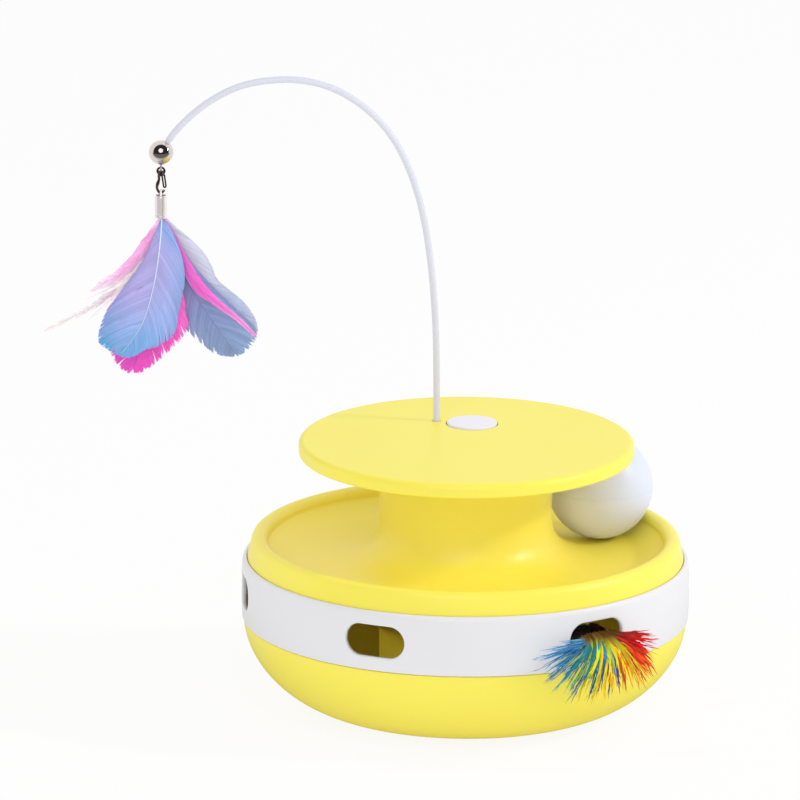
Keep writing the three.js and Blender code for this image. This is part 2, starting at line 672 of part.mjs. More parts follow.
addPiece("hub_tower", hubTower(), "yellow");
addPiece(
  "motor_can",
  post(MOTOR_X, 0, MOTOR.halfX, MOTOR.bottom, MOTOR.canTop).add(
    block([MOTOR_X - 3.4, -MOTOR.halfY, MOTOR.bottom + 1], [MOTOR_X + 3.4, MOTOR.halfY, MOTOR.canTop]),
  ),
  "steel",
);
addPiece(
  "gearbox",
  block(
    [MOTOR_X - MOTOR.halfX, -MOTOR.halfY, MOTOR.canTop + SEAT_GAP],
    [MOTOR_X + MOTOR.halfX, MOTOR.halfY, MOTOR.top],
  ).subtract(post(MOTOR_X, 0, 1.5 + RUN_GAP, MOTOR.canTop + 2, MOTOR.top + PAST, FINE_ROUND)),
  "brass",
);
addPiece("gearbox_shaft", post(MOTOR_X, 0, 1.5, MOTOR.canTop + 2 + RUN_GAP, 53.6, FINE_ROUND), "steel");
addPiece("drive_pinion", drivePinion(), "nylon");
addPiece("retaining_clip", retainingClip(), "steel");

// Feather drive: carrier ring, clip and the rainbow tuft

const FEATHER_CLIP = { from: 77, to: 89, half: 4.6, bottom: SLOT_Z - 4.35, top: SLOT_Z + 4.25 };
const QUILL = { radius: 1.4, from: 79.5, to: 103 };
const TUFT_ROOT_R = 101;

addPiece("feather_carrier", featherCarrier(), "yellow");

function featherClip() {
  const { from, to, half, bottom, top } = FEATHER_CLIP;
  const boreR = QUILL.radius + SEAT_GAP;
  const bore = new THREE.CylinderGeometry(boreR, boreR, to - from, FINE_ROUND);
  bore.rotateZ(Math.PI / 2).translate((from + to) / 2 + 2, 0, SLOT_Z);
  return facing(block([from, -half, bottom], [to, half, top]).subtract(solidOf(bore)), FEATHER_SLOT);
}

// Strand tips from the root of the tuft: outwards, sideways and upwards.
const STRANDS = [
  [12, -42.5, -7], [12, -40.5, 4], [16, -38, -15], [20, -33.3, -19], [22, -29, -21], [24, -23.5, -22.5],
  [25, -14.5, -22], [25, -4.8, -20.6], [24, 5.3, -17.5], [22, 12.8, -18.7], [20, 17.8, -14],
  [18, 21.6, -6.5], [16, 21.6, 3.7],
];

function strand([out, side, up]) {
  const root = new THREE.Vector3(TUFT_ROOT_R - 1, 0, SLOT_Z);
  const bend = new THREE.Vector3(TUFT_ROOT_R + 7 + out * 0.35, side * 0.4, SLOT_Z + up * 0.15 + 2);
  const tip = new THREE.Vector3(TUFT_ROOT_R + out, side, SLOT_Z + up);
  const path = new THREE.QuadraticBezierCurve3(root, bend, tip);
  const stations = 5;
  const sections = Array.from({ length: stations + 1 }, (_, i) => {
    const share = i / stations;
    const middle = path.getPoint(share);
    const along = path.getTangent(share);
    const across = new THREE.Vector3(0, 0, 1).cross(along).normalize();
    const lift = along.clone().cross(across);
    const width = 0.9 + 1.1 * Math.sin(Math.PI * Math.min(1, share * 1.1)) - 0.5 * share;
    return [[width, 0], [0, 0.5], [-width, 0], [0, -0.5]].map(([a, b]) => (
      middle.clone().addScaledVector(across, a).addScaledVector(lift, b)
    ));
  });
  return lofted(sections);
}

function rainbowTuft() {
  const quill = new THREE.CylinderGeometry(QUILL.radius, QUILL.radius, QUILL.to - QUILL.from, FINE_ROUND);
  quill.rotateZ(Math.PI / 2).translate((QUILL.from + QUILL.to) / 2, 0, SLOT_Z);
  return facing(join(solidOf(quill), ...STRANDS.map(strand)), FEATHER_SLOT);
}

addPiece("feather_clip", featherClip(), "yellow");
addPiece("rainbow_tuft", rainbowTuft(), "rainbow");

// Leads inside the pedestal

const LEAD_R = 1.2;
const LEAD_END_Z = BOARD.bottom + 3.4;
const BATTERY_LEAD = [
  [-10, 0, WELL_TOP + 0.6], [-11, -3, 34], [-9, -6, 62], [-3, -2, 92], [-2.5, 0, LEAD_END_Z],
];
const MOTOR_LEAD = [
  [MOTOR_X - 5.55, 3, MOTOR.bottom + 5], [17, 5, 32], [10, 5, 60], [3, 2, 92], [2.5, 0, LEAD_END_Z],
];

addPiece("battery_lead", wireAlong(smoothPath(BATTERY_LEAD), LEAD_R, 16, 6), "blackPlastic");
addPiece("motor_lead", wireAlong(smoothPath(MOTOR_LEAD), LEAD_R, 16, 6), "redFlex");

// Wand, bell and clasp

const WAND_LINE = [
  [-13.4, 109], [-13.4, 127], [-13.8, 156.6], [-15, 178.3], [-17.2, 199.1], [-20.9, 219.8], [-26.9, 238.5],
  [-34.8, 253.3], [-45.5, 265], [-59.5, 274], [-73.7, 278], [-88.3, 278.1], [-102.2, 275.2], [-114.1, 269.2],
  [-124.1, 261.4], [-131.6, 253.3], [-134.5, 249],
];

const wandCurve = smoothPath(WAND_LINE.map(([x, z]) => [x, WAND_FOOT.y, z]));

const BELL_LOOP = { z: BELL.z - BELL.radius - 0.9, radius: 1.5, wire: 0.4 };
const CLASP_PIVOT_Z = BELL_LOOP.z - BELL_LOOP.radius;
const CLASP_EYE = { radius: 1.6, wire: 0.4 };
const CLASP_EYE_Z = CLASP_PIVOT_Z + BELL_LOOP.wire + CLASP_EYE.wire + 0.15 - CLASP_EYE.radius;
const HOOK_Z = BELL.z - 18.5;
const HOOK_WIRE = 0.65;
const GATE = { top: [0.75, HOOK_Z + 7.1], foot: [1.9, HOOK_Z + 3], radius: 0.5 };
const FERRULE_LOOP = { radius: 1.75, wire: 0.45 };

function tipBell() {
  const shell = solidOf(new THREE.SphereGeometry(BELL.radius, 14, 9));
  const hollow = solidOf(new THREE.SphereGeometry(BELL.radius - BELL.wall, 10, 6));
  const slit = block([-3.4, -7, -2.6], [3.4, -2.5, -1.7]);
  const bell = cut(shell, hollow, slit).translate([BELL.x, WAND_FOOT.y, BELL.z]);
  const loop = wireRing(BELL.x, WAND_FOOT.y, BELL_LOOP.z, BELL_LOOP.radius, BELL_LOOP.wire, "x");
  return join(bell, loop).subtract(wireAlong(wandCurve, WIRE_R + SEAT_GAP, 40));
}

function claspHook() {
  const eye = wireRing(BELL.x, WAND_FOOT.y, CLASP_EYE_Z, CLASP_EYE.radius, CLASP_EYE.wire, "y");
  const line = [
    [0.2, CLASP_EYE_Z - CLASP_EYE.radius + 0.2], [-0.4, HOOK_Z + 7.3], [-2, HOOK_Z + 5.7],
    [-2.3, HOOK_Z + 3.1], [-1.6, HOOK_Z + 0.8], [0, HOOK_Z], [1.5, HOOK_Z + 0.6], [1.95, HOOK_Z + 1.9],
  ];
  const hook = wireAlong(
    smoothPath(line.map(([x, z]) => [BELL.x + x, WAND_FOOT.y, z])), HOOK_WIRE, 16, 6,
  );
  return join(eye, hook);
}

function claspGate() {
  const [top, foot] = [GATE.top, GATE.foot].map(([x, z]) => new THREE.Vector3(BELL.x + x, WAND_FOOT.y, z));
  return wireAlong(new THREE.LineCurve3(top, foot), GATE.radius, 1);
}

function bellPellet() {
  const radius = 1.5;
  const z = BELL.z - BELL.radius + BELL.wall + radius + 0.7;
  return solidOf(new THREE.SphereGeometry(radius, 10, 8)).translate([BELL.x, WAND_FOOT.y, z]);
}

addPiece("wand_wire", wireAlong(wandCurve, WIRE_R, 40), "white");
addPiece("tip_bell", tipBell(), "chrome");
addPiece("bell_pellet", bellPellet(), "steel");
addPiece("clasp_hook", claspHook(), "steel");
addPiece("clasp_gate", claspGate(), "steel");

// Teaser: ferrule, its loop and the feathers

const LOOP_Z = HOOK_Z + HOOK_WIRE + FERRULE_LOOP.wire + 0.15 - FERRULE_LOOP.radius;
const FERRULE_TOP = LOOP_Z - 0.7;
const TEASER_ROOT = new THREE.Vector3(BELL.x, WAND_FOOT.y, FERRULE_TOP - FERRULE.length + 0.7);

// Each feather: where its tip is from the root, its bow to the left, its half width, its place in
// the bundle from front to back, how far its tip leans forwards and where it is widest.
const FEATHERS = {
  front_blue_feather: {
    tip: [-21, -62], bow: -4, half: 17, layer: -3, lean: -16, widest: 0.62, material: "blueFeather",
  },
  left_pink_feather: {
    tip: [-36, -36], bow: -6, half: 5, layer: -2, lean: -9, widest: 0.5, material: "pinkFeather",
  },
  pink_strand_feather: {
    tip: [36, -55], bow: 7, half: 1.6, layer: -1, lean: -4, widest: 0.5, material: "pinkFeather",
  },
  lower_pink_feather: {
    tip: [-5, -72], bow: -3, half: 15, layer: 0, lean: -2, widest: 0.66, material: "pinkFeather",
  },
  right_grey_feather: {
    tip: [37, -62], bow: 6, half: 11, layer: 1, lean: 6, widest: 0.62, material: "greyFeather",
  },
  right_lilac_feather: {
    tip: [42, -47], bow: 8, half: 7, layer: 2, lean: 12, widest: 0.55, material: "lilacFeather",
  },
  white_wisp_feather: {
    tip: [-53, -55], bow: -8, half: 1.8, layer: 3, lean: 16, widest: 0.6, material: "paleFeather",
  },
};

function feather({ tip, bow, half, layer, lean, widest }) {
  const spacing = 0.5;
  const thick = 0.17;
  const root = TEASER_ROOT.clone().add(new THREE.Vector3(0, layer * spacing, 0));
  const stations = 12;
  const side = new THREE.Vector3(-tip[1], 0, tip[0]).normalize();
  const sections = Array.from({ length: stations + 1 }, (_, i) => {
    const share = i / stations;
    const curl = Math.sin(Math.PI * share);
    const x = tip[0] * share + bow * curl;
    const middle = new THREE.Vector3(x, lean * share ** 1.6, tip[1] * share).add(root);
    const rise = share < widest ? share / widest : (1 - share) / (1 - widest);
    const quillPart = Math.max(0, share - 0.1) / 0.9;
    const fullness = Math.sin((Math.PI / 2) * Math.min(1, rise)) * Math.min(1, quillPart * 4);
    const width = 0.35 + (half - 0.35) * fullness;
    return [
      middle.clone().addScaledVector(side, width),
      middle.clone().add(new THREE.Vector3(0, -thick, 0)),
      middle.clone().addScaledVector(side, -width),
      middle.clone().add(new THREE.Vector3(0, thick, 0)),
    ];
  });
  return lofted(sections);
}

addPiece(
  "ferrule_loop",
  wireRing(BELL.x, WAND_FOOT.y, LOOP_Z, FERRULE_LOOP.radius, FERRULE_LOOP.wire, "x"),
  "white",
);
addPiece(
  "feather_ferrule",
  turned([
    [FERRULE.bore, FERRULE_TOP - FERRULE.length], [FERRULE.radius, FERRULE_TOP - FERRULE.length],
    [FERRULE.radius, FERRULE_TOP - 0.4], [FERRULE.radius - 0.3, FERRULE_TOP], [FERRULE.bore, FERRULE_TOP],
  ], SMALL_ROUND).translate([BELL.x, WAND_FOOT.y, 0]),
  "steel",
);
for (const [name, form] of Object.entries(FEATHERS)) addPiece(name, feather(form), form.material);

export default group;
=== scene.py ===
# Automatic cat toy: yellow bowl base, white slotted band, ball track, disc, wand and feathers
import math
import random

import bmesh
import bpy
from mathutils import Matrix, Vector


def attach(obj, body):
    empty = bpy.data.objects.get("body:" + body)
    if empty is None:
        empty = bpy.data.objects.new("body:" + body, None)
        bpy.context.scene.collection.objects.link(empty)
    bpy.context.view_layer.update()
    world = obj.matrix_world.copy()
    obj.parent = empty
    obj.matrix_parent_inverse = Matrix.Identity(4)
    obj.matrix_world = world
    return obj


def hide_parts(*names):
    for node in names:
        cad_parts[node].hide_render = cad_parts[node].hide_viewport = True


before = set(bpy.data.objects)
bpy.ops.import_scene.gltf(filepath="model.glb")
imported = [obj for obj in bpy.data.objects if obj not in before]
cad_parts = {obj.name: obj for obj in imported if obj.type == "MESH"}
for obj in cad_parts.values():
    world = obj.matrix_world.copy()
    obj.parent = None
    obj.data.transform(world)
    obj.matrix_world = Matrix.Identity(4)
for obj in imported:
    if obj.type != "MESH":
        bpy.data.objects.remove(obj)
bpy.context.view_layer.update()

mm = 0.001
scene = bpy.context.scene
print("frame loaded:", len(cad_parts), "nodes")


# Camera, floor and lights

camera = {
    "target": (-0.02981, -0.00046, 0.13983),
    "elevation": 15.394,
    "distance": 9.0,
    "lens": 908.8,  # mm, very long, so the view is near parallel as in the photograph
    "sensor": 36.0,
    "roll": 0.455,
}
studio = {
    "floorHex": "#F7F7F6",
    "floorHalf": 6.0,
    "floorZ": -0.0008,  # underside of the rubber feet
    "floorGlow": 0.86,  # share of plain white that the lens and reflections see
    "floorBounce": 0.35,  # the same for the light that the floor throws back up
    "bounce": 1.3,  # strength of that light
    "ambient": 0.80,  # strength of the room's light
    "darkSide": 0.03,  # what gloss sees of the dark room behind the camera
    "darkFloor": (-0.30, -0.05),  # between these (m) the floor darkens, to gloss
    "paintedShadow": (0.10, 0.26, 0.12),  # a painted shadow near the bowl, to gloss too: within, beyond (m) and what share is left
    "sweep": (0.0, 0.96, -0.28),  # direction of the white sweep
    "sweepEdge": (-0.32, -0.10),
    "lampsAim": (0, 0, 0.09),
    "lamps": {  # towards, distance, size, power
        "keyLamp": ((1.59, -0.24, 1.0), 2.4, 0.26, 14.5),
        "fillLamp": ((-0.12, -1.0, 0.72), 2.2, 1.6, 8.5),
    },
}


def linearColour(hexText):
    parts = [int(hexText[i:i + 2], 16) / 255 for i in (1, 3, 5)]
    return [c / 12.92 if c <= 0.04045 else ((c + 0.055) / 1.055) ** 2.4 for c in parts] + [1.0]


# An input is a plain value, a hex colour, a node (its first output) or a pair of node and output
def setInputs(node, inputs):
    for socket, value in inputs.items():
        if isinstance(value, bpy.types.Node):
            value = (value, 0)
        if isinstance(value, tuple) and isinstance(value[0], bpy.types.Node):
            node.id_data.links.new(value[0].outputs[value[1]], node.inputs[socket])
        else:
            plain = linearColour(value) if isinstance(value, str) else value
            node.inputs[socket].default_value = plain


def addNode(tree, kind, inputs=None, **settings):
    node = tree.nodes.new("ShaderNode" + kind)
    for name, value in settings.items():
        setattr(node, name, value)
    setInputs(node, inputs or {})
    return node


def placeCamera():
    data = bpy.data.cameras.new("camera")
    data.lens, data.sensor_width = camera["lens"], camera["sensor"]
    data.clip_start, data.clip_end = 0.1, 50.0
    rise, roll = math.radians(camera["elevation"]), math.radians(camera["roll"])
    right, up = Vector((1, 0, 0)), Vector((0, math.sin(rise), math.cos(rise)))
    back = Vector((0, -math.cos(rise), math.sin(rise)))
    turnedRight = right * math.cos(roll) + up * math.sin(roll)
    turnedUp = up * math.cos(roll) - right * math.sin(roll)
    place = Matrix((turnedRight, turnedUp, back)).transposed().to_4x4()
    place.translation = Vector(camera["target"]) + back * camera["distance"]
    lens = bpy.data.objects.new("camera", data)
    scene.collection.objects.link(lens)
    lens.matrix_world = place
    scene.camera = lens


def placeLamp(name, towards, distance, size, power):
    data = bpy.data.lights.new(name, "AREA")
    data.shape, data.size, data.energy = "DISK", size, power
    lamp = bpy.data.objects.new(name, data)
    scene.collection.objects.link(lamp)
    direction = Vector(towards).normalized()
    lamp.location = Vector(studio["lampsAim"]) + direction * distance
    lamp.rotation_euler = direction.to_track_quat("Z", "Y").to_euler()


def paintWorld():
    world = bpy.data.worlds.new("whiteRoom")
    world.use_nodes = True
    scene.world = world
    tree = world.node_tree
    tree.nodes.clear()
    path = addNode(tree, "LightPath")
    place = addNode(tree, "TexCoord")
    # The room behind the camera and the ceiling are dark, the sweep behind the toy is white
    sweep = addNode(tree, "VectorMath", {0: (place, "Generated"), 1: studio["sweep"]},
                    operation="DOT_PRODUCT")
    low, high = studio["sweepEdge"]
    side = addNode(tree, "MapRange", {0: (sweep, "Value"), 1: low, 2: high,
                                      3: studio["darkSide"], 4: 1.0},
                   interpolation_type="SMOOTHSTEP")
    seen = addNode(tree, "Mix", {0: (path, "Is Glossy Ray"), 2: studio["ambient"], 3: side})
    plain = addNode(tree, "Math", {0: (path, "Is Camera Ray"), 1: (path, "Is Transmission Ray")},
                    operation="MAXIMUM")
    strength = addNode(tree, "Mix", {0: plain, 2: seen, 3: 1.0})
    glow = addNode(tree, "Background", {"Color": "#FFFFFF", "Strength": strength})
    addNode(tree, "OutputWorld", {"Surface": glow})


def layFloor():
    half, z = studio["floorHalf"], studio["floorZ"]
    mesh = bpy.data.meshes.new("floor")
    corners = [(-half, -half, z), (half, -half, z), (half, half, z), (-half, half, z)]
    mesh.from_pydata(corners, [], [(0, 1, 2, 3)])
    floor = bpy.data.objects.new("floor", mesh)
    scene.collection.objects.link(floor)
    material = bpy.data.materials.new("paintedStudioFloor")
    material.use_nodes = True
    mesh.materials.append(material)
    tree = material.node_tree
    tree.nodes.clear()
    path = addNode(tree, "LightPath")
    first = addNode(tree, "Math", {0: (path, "Is Camera Ray"), 1: (path, "Is Glossy Ray")},
                    operation="MAXIMUM")
    seen = addNode(tree, "Math", {0: first, 1: (path, "Is Transmission Ray")},
                   operation="MAXIMUM")
    share = addNode(tree, "MapRange",
                    {0: seen, 3: studio["floorBounce"], 4: studio["floorGlow"]})
    paint = addNode(tree, "BsdfDiffuse", {"Color": studio["floorHex"]})
    # The white sheet ends in front of the toy: there polished metal sees the dark room
    place = addNode(tree, "NewGeometry")
    split = addNode(tree, "SeparateXYZ", {0: (place, "Position")})
    dark, light = studio["darkFloor"]
    near = addNode(tree, "MapRange", {0: (split, "Y"), 1: dark, 2: light,
                                      3: studio["darkSide"], 4: 1.0})
    # Painted shadow: close to the bowl the floor is kept dark to gloss, as the bowl's own shadow
    # would keep it
    away = addNode(tree, "VectorMath", {0: (place, "Position"), 1: (1.0, 1.0, 0.0)},
                   operation="MULTIPLY")
    far = addNode(tree, "VectorMath", {0: away}, operation="LENGTH")
    close, clear, shade = studio["paintedShadow"]
    paintedShadowShare = addNode(tree, "MapRange", {0: (far, "Value"), 1: close, 2: clear, 3: shade, 4: 1.0})
    both = addNode(tree, "Math", {0: near, 1: paintedShadowShare}, operation="MINIMUM")
    upward = addNode(tree, "MapRange", {0: seen, 3: studio["bounce"], 4: 1.0})
    glow = addNode(tree, "Mix", {0: (path, "Is Glossy Ray"), 2: upward, 3: both})
    white = addNode(tree, "Emission", {"Color": "#FFFFFF", "Strength": glow})
    mixed = addNode(tree, "MixShader", {0: share, 1: paint, 2: white})
    addNode(tree, "OutputMaterial", {"Surface": mixed})


placeCamera()
for name, values in studio["lamps"].items():
    placeLamp(name, *values)
paintWorld()
layFloor()
scene.view_settings.view_transform = "Standard"
print("camera, floor and lights placed")


# Materials, each from what the real one is

plastic = {"flowScale": 14.0, "glossVary": 0.02, "relief": 0.5}
feather = {"ior": 1.45, "sheenRoughness": 0.4, "dyeScale": 85.0, "streak": 0.35}


def newMaterial(name, inputs):
    material = bpy.data.materials.new(name)
    material.use_nodes = True
    surface = material.node_tree.nodes["Principled BSDF"]
    setInputs(surface, inputs)
    return material, material.node_tree, surface


def mouldedPlastic(name, colourHex, shadeHex, ior, roughness, grain=0.9, depth=0.004,
                   bounceHex=None):
    # Injection-moulded plastic: even gloss, faint wide flow marks in tone and gloss, and a spark
    # grain (mm) of a few thousandths of depth, drawn coarser than the real 0.1 mm so that it shows
    material, tree, surface = newMaterial(name, {"IOR": ior, "Roughness": roughness})
    place = addNode(tree, "TexCoord")
    flow = addNode(tree, "TexNoise", {"Scale": plastic["flowScale"], "Detail": 0.0,
                                      "Vector": (place, "Object")})
    tone = addNode(tree, "Mix", {0: flow, 6: colourHex, 7: shadeHex}, data_type="RGBA")
    if bounceHex:
        # What it throws on its neighbours is paler, as in the photograph's clean greys
        rays = addNode(tree, "LightPath")
        tone = addNode(tree, "Mix", {0: (rays, "Is Diffuse Ray"), 6: (tone, 2), 7: bounceHex},
                       data_type="RGBA")
    vary = plastic["glossVary"]
    gloss = addNode(tree, "MapRange", {0: flow, 1: 0.3, 2: 0.7,
                                       3: roughness - vary, 4: roughness + vary})
    spark = addNode(tree, "TexNoise", {"Scale": 1 / (grain * mm), "Detail": 0.0,
                                       "Vector": (place, "Object")})
    relief = addNode(tree, "Bump", {"Strength": plastic["relief"], "Distance": depth * mm,
                                    "Height": spark})
    setInputs(surface, {"Base Color": (tone, 2), "Roughness": gloss, "Normal": relief})
    return material


def metal(name, colourHex, darkHex, roughness, scratch=0.25, bare=1.0):
    # Fine handling marks (mm) vary the gloss; a white lacquer film (bare below 1) makes it paler
    material, tree, surface = newMaterial(name, {"Metallic": bare, "Roughness": roughness})
    place = addNode(tree, "TexCoord")
    marks = addNode(tree, "TexNoise", {"Scale": 1 / (scratch * mm), "Detail": 4.0,
                                       "Distortion": 0.6, "Vector": (place, "Object")})
    tone = addNode(tree, "Mix", {0: marks, 6: colourHex, 7: darkHex}, data_type="RGBA")
    gloss = addNode(tree, "MapRange", {0: marks, 1: 0.3, 2: 0.7,
                                       3: max(0.02, roughness - 0.03), 4: roughness + 0.06})
    setInputs(surface, {"Base Color": (tone, 2), "Roughness": gloss})
    return material


def printedBoard(name):
    # Green solder mask over copper tracks, 2.6 mm from row to row
    material, tree, surface = newMaterial(name, {"IOR": 1.5, "Roughness": 0.3})
    place = addNode(tree, "TexCoord")
    tracks = addNode(tree, "TexBrick", {
        "Scale": 1.0, "Brick Width": 9 * mm, "Row Height": 2.6 * mm, "Mortar Size": 0.4 * mm,
        "Color1": "#1F5B37", "Color2": "#24663F", "Mortar": "#3F8A55",
        "Vector": (place, "Object")})
    setInputs(surface, {"Base Color": tracks})
    return material


# What all dyed feathers share: soft satin barbs, a ramp of dyes, the place on the vane
# (along, across) and the place on the single barb
def dyedFeather(name, stops, roughness, sheen):
    material, tree, surface = newMaterial(name, {
        "IOR": feather["ior"], "Roughness": roughness, "Sheen Weight": sheen,
        "Sheen Roughness": feather["sheenRoughness"]})
    vane, barb = (addNode(tree, "SeparateXYZ", {0: addNode(tree, "UVMap", uv_map=title)})
                  for title in ("vane", "barb"))
    ramp = addNode(tree, "ValToRGB")
    dyes = ramp.color_ramp.elements
    for position, _ in stops[2:]:
        dyes.new(position)
    for element, (position, hexText) in zip(dyes, stops):
        element.position, element.color = position, linearColour(hexText)
    return material, tree, surface, vane, barb, ramp


def toneBarbs(tree, surface, colour, barb, darkest, palest, saturation=1.0):
    light = addNode(tree, "MapRange", {0: (barb, "X"), 3: darkest, 4: palest})
    toned = addNode(tree, "HueSaturation", {"Saturation": saturation, "Color": (colour, 2),
                                            "Value": light})
    setInputs(surface, {"Base Color": toned})


def dyedGoose(name, stops, sideHex, sideShare):
    # Dyed goose feather: dye pooled in patches, and paler or darker along single barbs
    material, tree, surface, vane, barb, ramp = dyedFeather(name, stops, 0.62, 0.25)
    place = addNode(tree, "TexCoord")
    dye = addNode(tree, "TexNoise", {"Scale": feather["dyeScale"], "Detail": 3.0,
                                     "Vector": (place, "Object")})
    moved = addNode(tree, "Math", {0: dye, 1: 0.5}, operation="SUBTRACT")
    wander = addNode(tree, "Math", {0: moved, 1: feather["streak"], 2: (vane, "X")},
                     operation="MULTIPLY_ADD")
    setInputs(ramp, {0: wander})
    side = addNode(tree, "MapRange", {0: (vane, "Y"), 1: 0.45, 2: 1.0, 3: 0.0, 4: sideShare})
    tinted = addNode(tree, "Mix", {0: side, 6: ramp, 7: sideHex}, data_type="RGBA")
    toneBarbs(tree, surface, tinted, barb, 0.82, 1.18)
    return material


def rainbowMarabou(name):
    # Dip-dyed marabou: each strand its own strong colour, darker and golden brown near the quill,
    # partly the root's own colour and partly painted shade; the ramp's near black brown end is
    # painted shade
    # The last two stops, near black brown, are painted shade for the short strands deep in the slot
    stops = [(0.0, "#164A92"), (0.08, "#2C74BC"), (0.16, "#5CA2D6"), (0.25, "#0C93A2"),
             (0.34, "#179A44"), (0.46, "#B8DC18"), (0.57, "#FFE600"), (0.67, "#FF9A08"),
             (0.78, "#F5500F"), (0.88, "#E30D18"), (0.94, "#98000E"), (0.97, "#2E1206"),
             (1.0, "#1E0D05")]
    material, tree, surface, vane, barb, ramp = dyedFeather(name, stops, 0.6, 0.15)
    setInputs(ramp, {0: (vane, "Y")})
    # Golden brown towards the quill: the root's own colour with painted shade in it
    root = addNode(tree, "MapRange", {0: (vane, "X"), 1: 0.18, 2: 0.45, 3: 0.97, 4: 0.0})
    rootBrownAndShade = addNode(tree, "Mix", {0: root, 6: ramp, 7: "#7A5208"}, data_type="RGBA")
    toneBarbs(tree, surface, rootBrownAndShade, barb, 0.55, 1.2, 1.05)
    return material


# Satin mouldings: the yellow throws a paler yellow on its neighbours
yellowAbs = mouldedPlastic("mouldedYellowAbs", "#FAED55", "#F8E94E", 1.6, 0.40,
                           bounceHex="#FFEEA4")
whiteAbs = mouldedPlastic("mouldedWhiteAbs", "#E4E4E7", "#E1E1E4", 1.54, 0.36)
ballPlastic = mouldedPlastic("blownWhitePolypropylene", "#DEE4F4", "#DBE1F1", 1.49, 0.42)
buttonAbs = mouldedPlastic("satinWhiteAbs", "#ECEBF4", "#E9E8F1", 1.54, 0.42)
innerNylon = mouldedPlastic("naturalNylon", "#E4E0D2", "#DAD5C4", 1.53, 0.42)
blackNylon = mouldedPlastic("blackGlassFilledNylon", "#232325", "#2C2C2F", 1.53, 0.5)
# Dull rubber, coated wire, glossy wraps, and a cord with a fine twist
footRubber = mouldedPlastic("mouldedGreyRubber", "#4A4B4F", "#55565B", 1.52, 0.82, depth=0.03)
wirePaint = mouldedPlastic("whiteCoatedSpringSteel", "#D9DBE8", "#D6D8E5", 1.5, 0.45, depth=0.0)
leadBlack = mouldedPlastic("blackPvcLead", "#1B1B1D", "#232326", 1.53, 0.45)
leadRed = mouldedPlastic("redPvcLead", "#A32A26", "#B4352E", 1.53, 0.45)
cellWrap = mouldedPlastic("printedCellWrap", "#365880", "#3F648F", 1.56, 0.25)
whiteCord = mouldedPlastic("whiteTwistedCord", "#F3F2F0", "#E6E4E2", 1.45, 0.6, grain=0.3,
                           depth=0.05)
boardMask = printedBoard("solderMaskedBoard")
# Metals: dull zinc, dark bright nickel, a mirror bell, a milky lacquered tube and warm brass
zincSteel = metal("zincPlatedSteel", "#B9BCC2", "#9A9DA4", 0.30)
nickelPlate = metal("brightNickelPlate", "#857671", "#5F534F", 0.16, scratch=0.6)
bellPlate = metal("polishedBellPlate", "#E2D8D6", "#D8CDCA", 0.04, scratch=1.2)
rolledTube = metal("lacqueredAluminiumTube", "#F1EAEC", "#E2D8DB", 0.16, scratch=0.8, bare=0.38)
gearBrass = metal("machinedBrass", "#C9A75A", "#B08C42", 0.28)
print("plain materials made")


# Mesh tools: forms hold points in millimetres, faces, and two coordinate pairs for feathers

class Form:
    def __init__(self):
        self.points, self.faces, self.slots, self.vane, self.barb = [], [], [], [], []

    def add(self, points, faces, slot=0, vane=None, barb=None):
        first = len(self.points)
        self.points += [tuple(p) for p in points]
        self.faces += [tuple(i + first for i in face) for face in faces]
        self.slots += [slot] * len(faces)
        self.vane += vane or [(0.0, 0.0)] * len(points)
        self.barb += barb or [(0.5, 0.0)] * len(points)
        return self


def meshOf(name, form, weld=0.004, sharp=32):
    mesh = bpy.data.meshes.new(name)
    mesh.from_pydata([[c * mm for c in p] for p in form.points], [], form.faces)
    mesh.polygons.foreach_set("material_index", form.slots)
    if any(v != (0.0, 0.0) for v in form.vane):
        for title, pairs in (("vane", form.vane), ("barb", form.barb)):
            layer = mesh.uv_layers.new(name=title)
            layer.data.foreach_set("uv", [c for loop in mesh.loops
                                          for c in pairs[loop.vertex_index]])
    if weld:
        soft = bmesh.new()
        soft.from_mesh(mesh)
        bmesh.ops.remove_doubles(soft, verts=soft.verts, dist=weld * mm)
        bmesh.ops.recalc_face_normals(soft, faces=soft.faces)
        soft.to_mesh(mesh)
        soft.free()
    smooth(mesh, sharp)
    return mesh


def smooth(mesh, sharp):
    mesh.polygons.foreach_set("use_smooth", [True] * len(mesh.polygons))
    mesh.set_sharp_from_angle(angle=math.radians(sharp))
    mesh.update()


def makePiece(name, form, materials, body, nodes, weld=0.004, sharp=32, tools=(),
              even=False):
    piece = bpy.data.objects.new(name, meshOf(name, form, weld, sharp))
    scene.collection.objects.link(piece)
    for material in materials:
        piece.data.materials.append(material)
    for operation, tool in tools:
        carve(piece, tool, operation)
    if tools:
        smooth(piece.data, sharp)
    if tools or even:
        piece.modifiers.new("evenShading", "WEIGHTED_NORMAL").keep_sharp = True
    if nodes:
        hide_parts(*nodes)
    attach(piece, body)


def carve(piece, tool, operation):
    cutter = bpy.data.objects.new("cutter", meshOf("cutter", tool))
    scene.collection.objects.link(cutter)
    modifier = piece.modifiers.new("carve", "BOOLEAN")
    modifier.operation, modifier.solver, modifier.object = operation, "EXACT", cutter
    scenery = bpy.context.evaluated_depsgraph_get()
    done = bpy.data.meshes.new_from_object(piece.evaluated_get(scenery))
    piece.modifiers.remove(modifier)
    for material in piece.data.materials:
        if material.name not in [m.name for m in done.materials if m]:
            done.materials.append(material)
    piece.data = done
    bpy.data.objects.remove(cutter)


